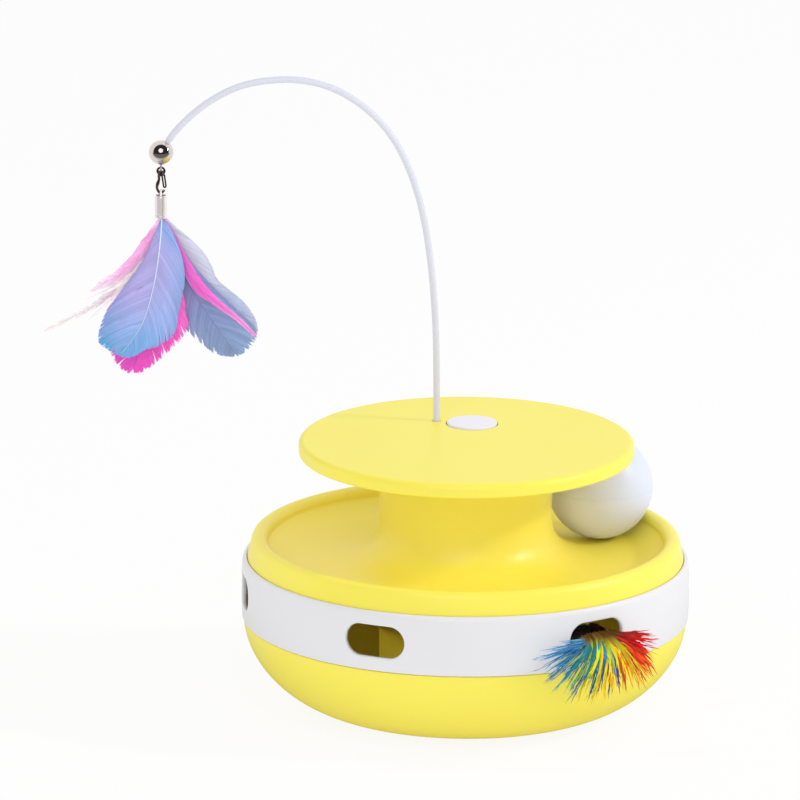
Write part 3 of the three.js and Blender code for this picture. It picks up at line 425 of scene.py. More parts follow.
# Turns corners of (radius, height, rounding) into a smooth profile
def rounded(corners, closed=False, step=12):
    out = []
    for i, (r, z, rounding) in enumerate(corners):
        here = Vector((r, z))
        if not rounding or (not closed and i in (0, len(corners) - 1)):
            out.append((r, z))
            continue
        before = Vector(corners[i - 1][:2]) - here
        after = Vector(corners[(i + 1) % len(corners)][:2]) - here
        u, v = before.normalized(), after.normalized()
        angle = u.angle(v)
        if angle > math.pi - 0.02:
            out.append((r, z))
            continue
        reach = min(rounding / math.tan(angle / 2), 0.48 * before.length, 0.48 * after.length)
        radius = reach * math.tan(angle / 2)
        centre = here + (u + v).normalized() * (radius / math.sin(angle / 2))
        start, end = here + u * reach - centre, here + v * reach - centre
        turn = math.pi - angle
        steps = max(2, math.ceil(math.degrees(turn) / step))
        for k in range(steps + 1):
            share = k / steps
            a = math.sin((1 - share) * turn) / math.sin(turn)
            b = math.sin(share * turn) / math.sin(turn)
            point = centre + start * a + end * b
            out.append((point.x, point.y))
    return out


def lathe(profile, facets, ring=False, centre=(0.0, 0.0), form=None):
    form = form or Form()
    points, rows, faces = [], [], []
    for r, z in profile:
        if r < 1e-4:
            rows.append([len(points)])
            points.append((centre[0], centre[1], z))
            continue
        rows.append(list(range(len(points), len(points) + facets)))
        for k in range(facets):
            turn = 2 * math.pi * k / facets
            points.append((centre[0] + r * math.cos(turn), centre[1] + r * math.sin(turn), z))
    pairs = list(zip(rows, rows[1:] + rows[:1])) if ring else list(zip(rows, rows[1:]))
    for a, b in pairs:
        for k in range(facets):
            n = (k + 1) % facets
            if len(a) == 1 and len(b) == 1:
                continue
            if len(a) == 1:
                faces.append((a[0], b[n], b[k]))
            elif len(b) == 1:
                faces.append((a[k], a[n], b[0]))
            else:
                faces.append((a[k], a[n], b[n], b[k]))
    return form.add(points, faces)


# The faces between rows of points that each run once round
def skin(rows, count, closed=False):
    return [(i * count + k, i * count + (k + 1) % count,
             (i + 1) % rows * count + (k + 1) % count, (i + 1) % rows * count + k)
            for i in range(rows if closed else rows - 1) for k in range(count)]


def arc(radius, degrees):
    turn = math.radians(degrees)
    return radius * math.cos(turn), radius * math.sin(turn)


def between(a, b, share):
    return tuple(p + (q - p) * share for p, q in zip(a, b))


def drum(centre, radius, low, high, facets):
    return lathe([(0, low), (radius, low), (radius, high), (0, high)], facets, centre=centre)


def added(form):
    return "UNION", form


def cut(form):
    return "DIFFERENCE", form


def blockForm(low, high):
    (a, b, c), (d, e, f) = low, high
    corners = [(a, b, c), (d, b, c), (d, e, c), (a, e, c),
               (a, b, f), (d, b, f), (d, e, f), (a, e, f)]
    sides = [(0, 3, 2, 1), (4, 5, 6, 7), (0, 1, 5, 4), (1, 2, 6, 5), (2, 3, 7, 6), (3, 0, 4, 7)]
    return Form().add(corners, sides)


def bezier(a, b, c, d, steps):
    out = []
    for k in range(steps + 1):
        t = k / steps
        s = 1 - t
        out.append(tuple(s ** 3 * a[i] + 3 * s * s * t * b[i] + 3 * s * t * t * c[i] + t ** 3 * d[i]
                         for i in range(len(a))))
    return out


# A smooth curve through points, spaced by the square root of their distance
def throughPoints(points, perSpan):
    p = [Vector(q) for q in points]
    p = [p[0] * 2 - p[1]] + p + [p[-1] * 2 - p[-2]]
    out = []
    for i in range(1, len(p) - 2):
        t = [0.0]
        for k in range(3):
            t.append(t[-1] + max(1e-6, (p[i + k] - p[i + k - 1]).length) ** 0.5)
        for k in range(perSpan):
            x = t[1] + (t[2] - t[1]) * k / perSpan
            row = [p[i - 1], p[i], p[i + 1], p[i + 2]]
            for level in (1, 2, 3):
                for j in range(4 - level):
                    span = t[j + level] - t[j]
                    row[j] = row[j] * ((t[j + level] - x) / span) + row[j + 1] * ((x - t[j]) / span)
            out.append(row[0])
    out.append(p[-2].copy())
    return out


def spaced(line, count):
    lengths = [0.0]
    for a, b in zip(line, line[1:]):
        lengths.append(lengths[-1] + (b - a).length)
    out, i = [], 0
    for k in range(count + 1):
        want = lengths[-1] * k / count
        while i < len(lengths) - 2 and lengths[i + 1] < want:
            i += 1
        span = max(1e-9, lengths[i + 1] - lengths[i])
        out.append(line[i].lerp(line[i + 1], min(1.0, (want - lengths[i]) / span)))
    return out


def sweep(line, radii, sides, slot=0, form=None, flat=1.0, vane=None):
    form = form or Form()
    count = len(line)
    radii = radii if isinstance(radii, list) else [radii] * count
    tangent = (line[1] - line[0]).normalized()
    across = Vector((0, 1, 0)) if abs(tangent.y) < 0.9 else Vector((1, 0, 0))
    points, pairs = [], []
    for i, place in enumerate(line):
        tangent = (line[min(i + 1, count - 1)] - line[max(i - 1, 0)]).normalized()
        across = (across - tangent * across.dot(tangent)).normalized()
        lift = tangent.cross(across)
        for k in range(sides):
            turn = 2 * math.pi * k / sides
            points.append(place + across * (radii[i] * flat * math.cos(turn))
                          + lift * (radii[i] * math.sin(turn)))
            pairs.append((vane[i] if vane else 0.0, 0.5))
    faces = skin(count, sides)
    faces.append(tuple(range(sides))[::-1])
    faces.append(tuple((count - 1) * sides + k for k in range(sides)))
    return form.add(points, faces, slot, pairs if vane else None)


# Lower bowl

bowl = {
    "floorR": 54.4, "rimR": 98.9, "top": 40.0, "fullness": 1.82, "wall": 2.2,
    "foot": [(52.6, 0.0), (54.6, 0.0), (55.4, 0.1)],
    "bay": (29.5, 23.5, 18.0), "bayWall": 1.6,  # half width, half depth and top of the inside
    "tab": (39.4, 4.5, 2.3), "tabScrewX": 35.4, "tabPost": (4.2, 12.0), "tabHole": (1.6, 11),
    "wells": [(13, 29.5), (-13, 29.5), (-13, -29.5), (13, -29.5)], "wellPost": (4.6, 19.8),
    "wellHole": [(0, -1), (4.2, -1), (3.3, 0.5), (3.3, 16), (1.85, 16), (1.85, 21), (0, 21)],
    "footRing": 46.5, "footPocket": (5.3, 0.8),
}


def bowlCurve(lowR, highR, lowZ, steps):
    out, power = [], 2 / bowl["fullness"]
    for i in range(steps + 1):
        turn = math.pi / 2 * (1 - i / steps)
        across, down = math.cos(turn) ** power, math.sin(turn) ** power
        out.append((lowR + (highR - lowR) * across, lowZ + (bowl["top"] - lowZ) * (1 - down)))
    return out


def lowerBowl():
    wall = bowl["wall"]
    outside = bowlCurve(bowl["floorR"], bowl["rimR"], 0, 44)[1:]
    inside = bowlCurve(bowl["floorR"] - wall / 2, bowl["rimR"] - wall, wall, 24)[::-1]
    lip = rounded([(*outside[-2], 0), (*outside[-1], 0.5), (*inside[0], 0.4), (*inside[1], 0)])
    foot = bezier(*bowl["foot"], outside[1], 6)
    profile = ([(0, 0), (30, 0), (45, 0)] + foot + outside[2:-1] + lip[1:-1] + inside[1:]
               + [(30, wall), (0, wall)])
    form = lathe(profile, 192)
    bayX, bayY, bayTop = bowl["bay"]
    edge = bowl["bayWall"]
    tools = [added(blockForm((-bayX - edge, -bayY - edge, 1),
                             (bayX + edge, bayY + edge, bayTop + edge)))]
    tabScrew = (bowl["tabScrewX"], 0)
    tools.append(added(drum(tabScrew, bowl["tabPost"][0], 1, bowl["tabPost"][1], 40)))
    for well in bowl["wells"]:
        tools.append(added(drum(well, bowl["wellPost"][0], 1, bowl["wellPost"][1], 40)))
    tools.append(cut(blockForm((-bayX, -bayY, -1), (bayX, bayY, bayTop))))
    reach, half, high = bowl["tab"]
    tools.append(cut(blockForm((0, -half, -1), (reach, half, high))))
    tools.append(cut(drum(tabScrew, bowl["tabHole"][0], 0, bowl["tabHole"][1], 24)))
    tools += [cut(lathe(bowl["wellHole"], 40, centre=well)) for well in bowl["wells"]]
    radius, deep = bowl["footPocket"]
    for k in range(4):
        tools.append(cut(drum(arc(bowl["footRing"], 45 + 90 * k), radius, -1, deep, 40)))
    makePiece("bowlShell", form, [yellowAbs], "base", ["lower_bowl"], tools=tools)


lowerBowl()
print("bowl made")


# White band: six sixty degree sectors, each a grid that runs round its slot

band = {
    "radius": 100.0, "inner": 97.7, "slot": (28.5, 14.5), "slotZ": 53.9, "firstSlot": 36.0,
    "edge": 0.9, "innerEdge": 0.35, "half": 9.2, "columns": 40, "rows": 10,
    "bulge": [(40.3, 99.5), (43.2, 99.75), (47.15, 99.9), (53.9, 100.0), (60.15, 99.9),
              (65.4, 99.7)],  # height and radius
    "spacing": [0.0, 0.02, 0.05, 0.1, 0.17, 0.25, 0.34, 0.43, 0.52, 0.61, 0.7, 0.8, 0.9, 1.0],
}


def bandRadius(z):
    table = band["bulge"]
    for (z0, r0), (z1, r1) in zip(table, table[1:]):
        if z <= z1:
            return r0 + (r1 - r0) * max(0.0, (z - z0) / (z1 - z0))
    return table[-1][1]


# A quarter at a time: each group of points faces one side of the sector
def stadiumRing(grow):
    end = band["slot"][1] / 2
    straight = band["slot"][0] / 2 - end
    end += grow
    points = []
    columns, rows = band["columns"], band["rows"]
    for count, fromTurn, toTurn in ((columns, 135, 45), (rows, 45, -45), (columns, -45, -135),
                                    (rows, 225, 135)):
        bow = end * math.radians(45)
        for k in range(count):
            if fromTurn in (45, 225):
                x, y = arc(end, fromTurn + (toTurn - fromTurn) * k / count)
                points.append((x + (straight if fromTurn == 45 else -straight), y))
                continue
            sign = 1 if fromTurn > 0 else -1
            total = 2 * (bow + straight)
            at = total * k / count
            if bow <= at < bow + 2 * straight:
                points.append((sign * (at - bow - straight), sign * end))
                continue
            before = at < bow
            turn = (math.radians(fromTurn) - at / end if before
                    else math.radians(toTurn) + (total - at) / end)
            shift = -sign * straight if before else sign * straight
            points.append((shift + end * math.cos(turn), end * math.sin(turn)))
    return points


def sectorBorder():
    wide, high = math.radians(30) * band["radius"], band["half"]
    c, r = band["columns"], band["rows"]
    border = [(-wide + 2 * wide * k / c, high) for k in range(c)]
    border += [(wide, high - 2 * high * k / r) for k in range(r)]
    border += [(wide - 2 * wide * k / c, -high) for k in range(c)]
    border += [(-wide, -high + 2 * high * k / r) for k in range(r)]
    return border


def whiteBand():
    form = Form()
    edge, inner, fine = band["edge"], band["inner"], band["innerEdge"]
    border = sectorBorder()
    rings = []  # of (u, v, radius): none for the outside, below zero for less than the outside
    for share in reversed(band["spacing"]):
        rings.append([(*between(a, b, share), None) for a, b in zip(stadiumRing(edge), border)])
    for turn in (18, 36, 54, 72, 90):
        swing = math.radians(turn)
        grow, depth = edge * (1 - math.sin(swing)), edge * (1 - math.cos(swing))
        rings.append([(u, v, -depth) for u, v in stadiumRing(grow)])
    rings.append([(u, v, inner + fine) for u, v in stadiumRing(0.0)])
    for share in band["spacing"]:
        rings.append([(*between(a, b, share), inner) for a, b in zip(stadiumRing(fine), border)])
    faces = skin(len(rings), len(border))
    for sector in range(6):
        middle = math.radians(band["firstSlot"] - 90 + 60 * sector)
        points = []
        for u, v, radius in [point for ring in rings for point in ring]:
            z = v + band["slotZ"]
            r = radius if radius and radius > 0 else bandRadius(z) + (radius or 0)
            turn = middle + u / band["radius"]
            points.append((r * math.cos(turn), r * math.sin(turn), z))
        form.add(points, faces)
    high, low = band["slotZ"] + band["half"], band["slotZ"] - band["half"]
    over = rounded([(bandRadius(high), high, 0), (99.6, 65.6, 0.5), (99.2, 66.9, 0.9),
                    (98.2, 67.5, 0.5), (inner, 67.4, 0.15), (inner, high, 0)])
    under = rounded([(inner, low, 0), (inner, 43.9, 0.3), (94.2, 42.3, 0.3), (94.2, 37, 0.3),
                     (95.7, 37, 0.3), (95.7, 40.3, 0.1), (99.5, 40.3, 0.45),
                     (bandRadius(low), low, 0)])
    around = 6 * band["columns"]
    start = math.radians(band["firstSlot"] - 90 - 30)
    turns = [start + 2 * math.pi * k / around for k in range(around)]
    for profile in (over, under):
        points = [(r * math.cos(turn), r * math.sin(turn), z) for r, z in profile for turn in turns]
        form.add(points, skin(len(profile), around))
    makePiece("bandRing", form, [whiteAbs], "base", ["white_band"], weld=0.02,
              sharp=50)


whiteBand()
print("band made")


# Ball track with its hollow pedestal

track = {
    "skirtR": 97.4, "skirt": (63.5, 67.4, 67.9), "crest": (92.1, 74.0, 3.7), "floorZ": 67.0,
    "ballR": 69.3, "neckR": 38.2, "neckZ": 89.0, "headR": 44.0, "headZ": 114.7, "wall": 2.2,
    "post": [(1.7, 60.3), (3.4, 60.3), (3.4, 86), (1.7, 86)],
}


def trackOutline():
    r, z, radius = track["crest"]
    flat, ballR = track["floorZ"], track["ballR"]
    neck, head = (track["neckR"], track["neckZ"]), (track["headR"], track["headZ"])
    line = [(track["skirtR"], height) for height in track["skirt"]]
    line += [(r + x, z + y) for x, y in (arc(radius, turn) for turn in range(10, 181, 10))]
    line += bezier((r - radius, z - 0.8), (86, 70), (79, flat), (ballR, flat), 18)
    line += bezier((ballR, flat), (47.3, flat), (neck[0], 73), neck, 26)[1:]
    line += bezier(neck, (neck[0], 101), (40, 107), head, 12)[1:]
    return line


def ballTrack():
    top = trackOutline()
    under, last = [], len(top) - 1
    for i, (r, z) in enumerate(top):
        along = (Vector(top[min(i + 1, last)]) - Vector(top[max(i - 1, 0)])).normalized()
        rise = 0 if i in (0, last) else along.x * track["wall"]
        under.append((r - along.y * track["wall"], z + rise))
    form = lathe(top + under[::-1][::2] + [under[0]], 224, ring=True)
    for well in bowl["wells"]:
        lathe(track["post"], 24, ring=True, centre=well, form=form)
    makePiece("trackShell", form, [yellowAbs], "base", ["track_tray"], sharp=40)


ballTrack()
print("track made")


# Ball, two halves with a fine welded seam

ball = {"radius": 23.7, "wall": 1.6, "turn": 30, "lift": 0.3, "seam": 0.04, "seamHalf": 0.02}


def ballHalf(name, node, sign):
    radius, seam = ball["radius"], ball["seamHalf"]
    core = radius - ball["wall"]
    z = track["floorZ"] + ball["lift"] + radius
    outer = [arc(radius, turn) for turn in range(0, 91, 3)]
    outer[0] = (radius - ball["seam"], seam)
    outer.insert(1, (radius - 0.02, 0.16))
    outer[-1] = (0, radius)
    inner = [(0, core)] + [arc(core, turn) for turn in range(80, 0, -10)] + [(core, seam)]
    profile = [(r, z + sign * h) for r, h in outer + inner]
    form = lathe(profile, 96, ring=True, centre=arc(track["ballR"], ball["turn"]))
    makePiece(name, form, [ballPlastic], "ball", [node], sharp=50)


ballHalf("ballUpperShell", "ball_upper_half", 1)
ballHalf("ballLowerShell", "ball_lower_half", -1)
print("ball made")


# Top disc, its underplate and the button

disc = {
    "radius": 75.0, "bottom": 115.0, "top": 121.5, "skin": 2.2, "holeR": 11.6,
    "wand": (-13.4, 32.0), "wandHoleR": 1.9, "holeLip": 0.45,
    "collar": (12.9, 116.9), "inside": 119.8,
    "earRing": 33.2, "ear": (2.8, 101.3), "earHole": (1.5, 101, 114),
    "plate": (41.2, 72.3, 1.8),  # inner and outer radius, thickness
}
button = {
    "centre": (2.5, 28.0), "stem": [(0, 115.5), (2.6, 115.5), (2.6, 118.4), (0, 118.4)],
    "cap": [(0, 118, 0), (9.4, 118, 0.3), (9.4, 115.2, 0.2), (12.5, 115.2, 0.2),
            (12.5, 116.6, 0.2), (11.2, 116.6, 0.2), (11.2, 122.2, 1.1), (10.2, 122.28, 0.8),
            (6.7, 122.55, 3), (0, 122.7, 0)],  # corners and their rounding
}


def topDisc():
    radius, low, high, skinZ = disc["radius"], disc["bottom"], disc["top"], disc["skin"]
    inside = radius - skinZ - 0.2
    corners = [(0, high - skinZ, 0), (inside, high - skinZ, 0.6), (inside, low, 0.3),
               (radius - 0.2, low, 1.5), (radius, high, 2.6), (50, high, 0), (30, high, 0),
               (0, high, 0)]
    form = lathe(rounded(corners, step=9), 224)
    tools = [added(drum(button["centre"], *disc["collar"], disc["inside"], 64))]
    for k in range(3):
        centre = arc(disc["earRing"], -90 + 120 * k)
        tools.append(added(drum(centre, *disc["ear"], disc["inside"], 24)))
        tools.append(cut(drum(centre, *disc["earHole"], 24)))
    lip = disc["holeLip"]
    for centre, r, facets in ((button["centre"], disc["holeR"], 96),
                              (disc["wand"], disc["wandHoleR"], 40)):
        flare = [(r + lip - x, high - lip + y)
                 for x, y in (arc(lip, turn) for turn in (0, 22, 45, 68, 90))]
        profile = [(0, low), (r, low)] + flare + [(r + lip + 0.02, high + 1), (0, high + 1)]
        tools.append(cut(lathe(profile, facets, centre=centre)))
    makePiece("discShell", form, [yellowAbs], "base", ["top_disc"], tools=tools,
              sharp=36)


def discUnder():
    inner, outer, thick = disc["plate"]
    low = disc["bottom"] + 0.2
    corners = [(inner, low, 0.2), (70, low, 0), (outer, low, 0.5), (outer, low + thick, 0.3),
               (inner, low + thick, 0.2)]
    makePiece("underPlate", lathe(rounded(corners, True), 160, ring=True), [yellowAbs], "base",
              ["disc_underplate"], even=True)


def powerButton():
    form = lathe(rounded(button["cap"], step=9), 96, centre=button["centre"])
    lathe(button["stem"], 24, centre=button["centre"], form=form)
    makePiece("buttonCap", form, [buttonAbs], "button", ["power_button"],
              sharp=40)


topDisc()
discUnder()
powerButton()
print("disc and button made")


# Underside: door, feet and screws

door = {"fit": 0.3, "thick": 2.0, "corner": 1.2, "soft": 0.25, "grips": 5, "gripFrom": -24.5,
        "gripStep": 2.2,
        "screwHole": [(0, -1), (2.9, -1), (2.9, 1.1), (1.6, 1.1), (1.6, 3), (0, 3)]}
footPad = [(0, -0.6, 0), (3.2, -0.6, 0.3), (3.6, -0.8, 0.15), (5, -0.8, 0.45), (5, 0.5, 0.1),
           (0, 0.5, 0)]  # corners and their rounding
screws = {  # head from and to, tip, head radius, shank radius
    "door": (0.1, 0.8, 9, 2.5, 1.2),
    "case": (13.4, 15.7, 72, 2.9, 1.4),
    "pitch": 0.9,
}


def doorPlate(halfX, halfY, high, corner, soft, tabReach, tabHalf):
    path = [(-halfX, -halfY, corner), (halfX, -halfY, corner), (halfX, -tabHalf, 0.4),
            (tabReach, -tabHalf, 0.9), (tabReach, tabHalf, 0.9), (halfX, tabHalf, 0.4),
            (halfX, halfY, corner), (-halfX, halfY, corner)]
    outline = rounded(path, True, 15)
    points, count = [], len(outline)
    for grow, z in ((-soft, 0.0), (0.0, soft), (0.0, high - 0.2), (-0.2, high)):
        for i, (x, y) in enumerate(outline):
            along = (Vector(outline[(i + 1) % count]) - Vector(outline[i - 1])).normalized()
            points.append((x + along.y * grow, y - along.x * grow, z))
    faces = skin(4, count)
    faces += [tuple(range(count))[::-1], tuple(3 * count + k for k in range(count))]
    return Form().add(points, faces)


def batteryDoor():
    fit, (reach, half, _) = door["fit"], bowl["tab"]
    form = doorPlate(bowl["bay"][0] - fit, bowl["bay"][1] - fit, door["thick"], door["corner"],
                     door["soft"], reach - fit, half - fit)
    tools = [cut(lathe(door["screwHole"], 32, centre=(bowl["tabScrewX"], 0)))]
    for k in range(door["grips"]):  # finger grooves at the end away from the tab
        x = door["gripFrom"] + door["gripStep"] * k
        tools.append(cut(blockForm((x, -9, -1), (x + 1.0, 9, 0.45))))
    makePiece("doorPanel", form, [yellowAbs], "base", ["battery_door"],
              tools=tools, sharp=40)


def rubberFoot(number):
    form = lathe(rounded(footPad), 48, centre=arc(bowl["footRing"], 45 + 90 * number))
    makePiece(f"footPad{number + 1}", form, [footRubber], "base", [f"rubber_foot_{number + 1}"])


def panScrew(name, node, x, y, low, top, tip, headR, shankR):
    high = top - low
    threads = []
    z, pitch, core = top + 0.6, screws["pitch"], shankR * 0.82
    while z + pitch < tip - 2 * shankR:
        threads += [(core, z), (shankR, z + pitch * 0.35), (core, z + pitch * 0.7)]
        z += pitch
    head = rounded([(0, low, 0), (headR, low, min(0.9, high * 0.8)), (headR, top, 0.1),
                    (shankR, top, 0)])
    end = [(shankR * 0.8, tip - 1.6 * shankR), (0, tip)]
    form = lathe(head + threads + end, 24, centre=(x, y))
    arm, wide, deep = headR * 0.55, headR * 0.13, min(1.2, high * 0.7)
    tools = [cut(blockForm((x - a, y - b, low - 1), (x + a, y + b, low + deep)))
             for a, b in ((arm, wide), (wide, arm))]
    makePiece(name, form, [zincSteel], "base", [node], tools=tools, sharp=40)


batteryDoor()
for k in range(4):
    rubberFoot(k)
panScrew("doorScrewSteel", "door_screw", bowl["tabScrewX"], 0, *screws["door"])
for k, (x, y) in enumerate(bowl["wells"]):
    panScrew(f"caseScrewSteel{k + 1}", f"case_screw_{k + 1}", x, y, *screws["case"])
print("underside made")


# Wand, bell and clasp

wand = {
    "line": [(-13.4, 109), (-13.4, 127), (-13.8, 156.6), (-15, 178.3), (-17.2, 199.1),
             (-20.9, 219.8), (-26.9, 238.5), (-34.8, 253.3), (-45.5, 265), (-59.5, 274),
             (-73.7, 278), (-88.3, 278.1), (-102.2, 275.2), (-114.1, 269.2), (-124.1, 261.4),
             (-131.6, 253.3), (-134.5, 249)],
    "y": 32.0, "radius": 1.5, "endRadius": 1.2,
}
bell = {"x": -137.2, "z": 244.5, "radius": 5.5, "wall": 0.6, "entryR": 1.75,
        "slit": ((-3.4, 2.5, -2.6), (3.4, 7, -1.9)), "loop": (238.1, 1.5, 0.42)}
clasp = {
    "eye": (235.95, 1.6, 0.5),  # height, radius and wire of the eye
    "wire": 0.74, "barrel": (1.3, -2.3, 0.15),  # radius, from and to, measured from the eye
    "hook": [(-0.7, 235.2), (-0.95, 233.6), (-0.85, 232.2), (-1.2, 230.9), (-1.6, 229.6),
             (-1.75, 228.2), (-1.2, 226.7), (-0.1, 225.9), (1.0, 226.5), (1.5, 227.3)],
    "swell": [(0.30, 0.42, 0.10), (0.16, 0.05, 0.06)],  # how much, where along the hook, how long
    "gate": [(1.0, 234.2), (1.7, 228.5)], "gateWire": 0.4, "gateHalf": 0.55, "pinWire": 0.42,
    "pinEnds": (-0.75, 0.75),
}


def upright(points, x=0.0):
    return [Vector((x + a, wand["y"], b)) for a, b in points]


def ringForm(x, z, radius, wire, axis, form=None):
    y, steps, sides = wand["y"], 40, 12
    middle = Vector((x, y, z))
    level = Vector((1, 0, 0)) if axis == "x" else Vector((0, 1, 0))
    points = []
    for k in range(steps):
        turn = 2 * math.pi * k / steps
        a, b = radius * math.cos(turn), radius * math.sin(turn)
        here = Vector((x, y + a, z + b) if axis == "x" else (x + a, y, z + b))
        outward = (here - middle).normalized()
        for s in range(sides):
            turn = 2 * math.pi * s / sides
            points.append(here + outward * wire * math.cos(turn) + level * wire * math.sin(turn))
    return (form or Form()).add(points, skin(steps, sides, True))


def globe(radius, z, step):
    line = [(r, z + h) for h, r in (arc(radius, turn) for turn in range(0, 181, step))]
    return [(0, z + radius)] + line[1:-1] + [(0, z - radius)]


def wandWire():
    line = spaced(throughPoints(upright(wand["line"]), 8), 150)
    radii = [wand["endRadius"]] + [wand["radius"]] * (len(line) - 2) + [wand["endRadius"]]
    makePiece("wandRod", sweep(line, radii, 24), [wirePaint], "wand", ["wand_wire"],
              sharp=50)


def tipBell():
    x, y, z = centre = bell["x"], wand["y"], bell["z"]
    form = lathe(globe(bell["radius"], z, 4), 72, centre=(x, y))
    low, high = ([c + d for c, d in zip(centre, corner)] for corner in bell["slit"])
    entry = spaced(throughPoints(upright(wand["line"][-4:]), 6), 12)
    tools = [cut(lathe(globe(bell["radius"] - bell["wall"], z, 10), 36, centre=(x, y))),
             cut(blockForm(low, high)),
             cut(sweep(entry, bell["entryR"], 20))]
    makePiece("bellShell", form, [bellPlate], "wand", ["tip_bell"], tools=tools,
              sharp=40)
    makePiece("bellLoop", ringForm(x, *bell["loop"], "x"), [bellPlate], "wand", [])


def snapClasp():
    x = bell["x"]
    line = spaced(throughPoints(upright(clasp["hook"], x), 8), 60)
    radii = []
    for k in range(len(line)):
        share = k / (len(line) - 1)
        thick = 0.82 + sum(more * math.exp(-((share - at) / reach) ** 2)
                           for more, at, reach in clasp["swell"])
        radii.append(clasp["wire"] * thick * (1 - 0.25 * (share > 0.985)))
    form = sweep(line, radii, 16, flat=1.25)
    ringForm(x, *clasp["eye"], "y", form)
    # The barrel that the eye and the hook are pressed into
    wide, low, high = clasp["barrel"]
    low, high = clasp["eye"][0] + low, clasp["eye"][0] + high
    lathe(rounded([(0, low, 0), (wide, low, 0.3), (wide, high, 0.3), (0, high, 0)]), 24,
          centre=(x, wand["y"]), form=form)
    makePiece("claspBody", form, [nickelPlate], "clasp", ["clasp_hook"], sharp=50)
    # A narrow hairpin: down one side, round the tip, up the other
    (ax, az), (bx, bz) = clasp["gate"]
    half = clasp["gateHalf"]
    tip = bz + 0.5
    down, up = (upright([(ax + side, az), (bx + side, tip)], x) for side in (-half, half))
    bend = [arc(half, turn) for turn in range(180, 361, 20)]
    line = [down[0].lerp(down[1], k / 8) for k in range(8)]
    line += upright([(bx + a, tip + b) for a, b in bend], x)
    line += [up[1].lerp(up[0], k / 8) for k in range(1, 9)]
    form = sweep(line, clasp["gateWire"], 10)
    pin = upright([(ax + side, az + 0.1) for side in clasp["pinEnds"]], x)
    sweep(pin, clasp["pinWire"], 10, form=form)
    makePiece("claspGatePin", form, [nickelPlate], "gate", ["clasp_gate"],
              sharp=50)


wandWire()
tipBell()
snapClasp()
print("wand, bell and clasp made")


# Teaser: ferrule with its rolled seam, loop, and feathers

teaser = {
    "root": (-137.2, 32.0, 215.1), "ferrule": (2.7, 214.4, 224.8),  # radius, from and to
    "bore": 2.15, "seam": (-72, 0.25, 0.5, 0.35),  # degrees, half width, depth in and out
    "loop": (225.5, 1.75, 0.45),
}


def ferrule():
    x, y, _ = teaser["root"]
    radius, low, top = teaser["ferrule"]
    bore, waist = teaser["bore"], radius - 0.14
    corners = [(bore, low, 0.1), (radius - 0.12, low, 0.15), (radius, low + 0.5, 0.2),
               (radius, low + 1.2, 0.2), (waist, low + 1.5, 0.2), (waist, low + 1.9, 0.2),
               (radius, low + 2.2, 0.2), (radius, top - 0.9, 0.3), (radius - 0.28, top, 0.2),
               (bore, top, 0.1)]
    form = lathe(rounded(corners, True), 48, ring=True, centre=(x, y))
    # The rolled tube's butt seam, turned a little to the right of the front
    turn, half, near, far = teaser["seam"]
    cx, cy = arc(radius, turn)
    cx, cy = x + cx, y + cy
    tools = [cut(blockForm((cx - half, cy - near, low - 1), (cx + half, cy + far, top + 1)))]
    makePiece("ferruleTube", form, [rolledTube], "teaser", ["feather_ferrule"],
              tools=tools)
    makePiece("ferruleLoopCord", ringForm(x, *teaser["loop"], "x"), [whiteCord], "teaser",
              ["ferrule_loop"])


ferrule()

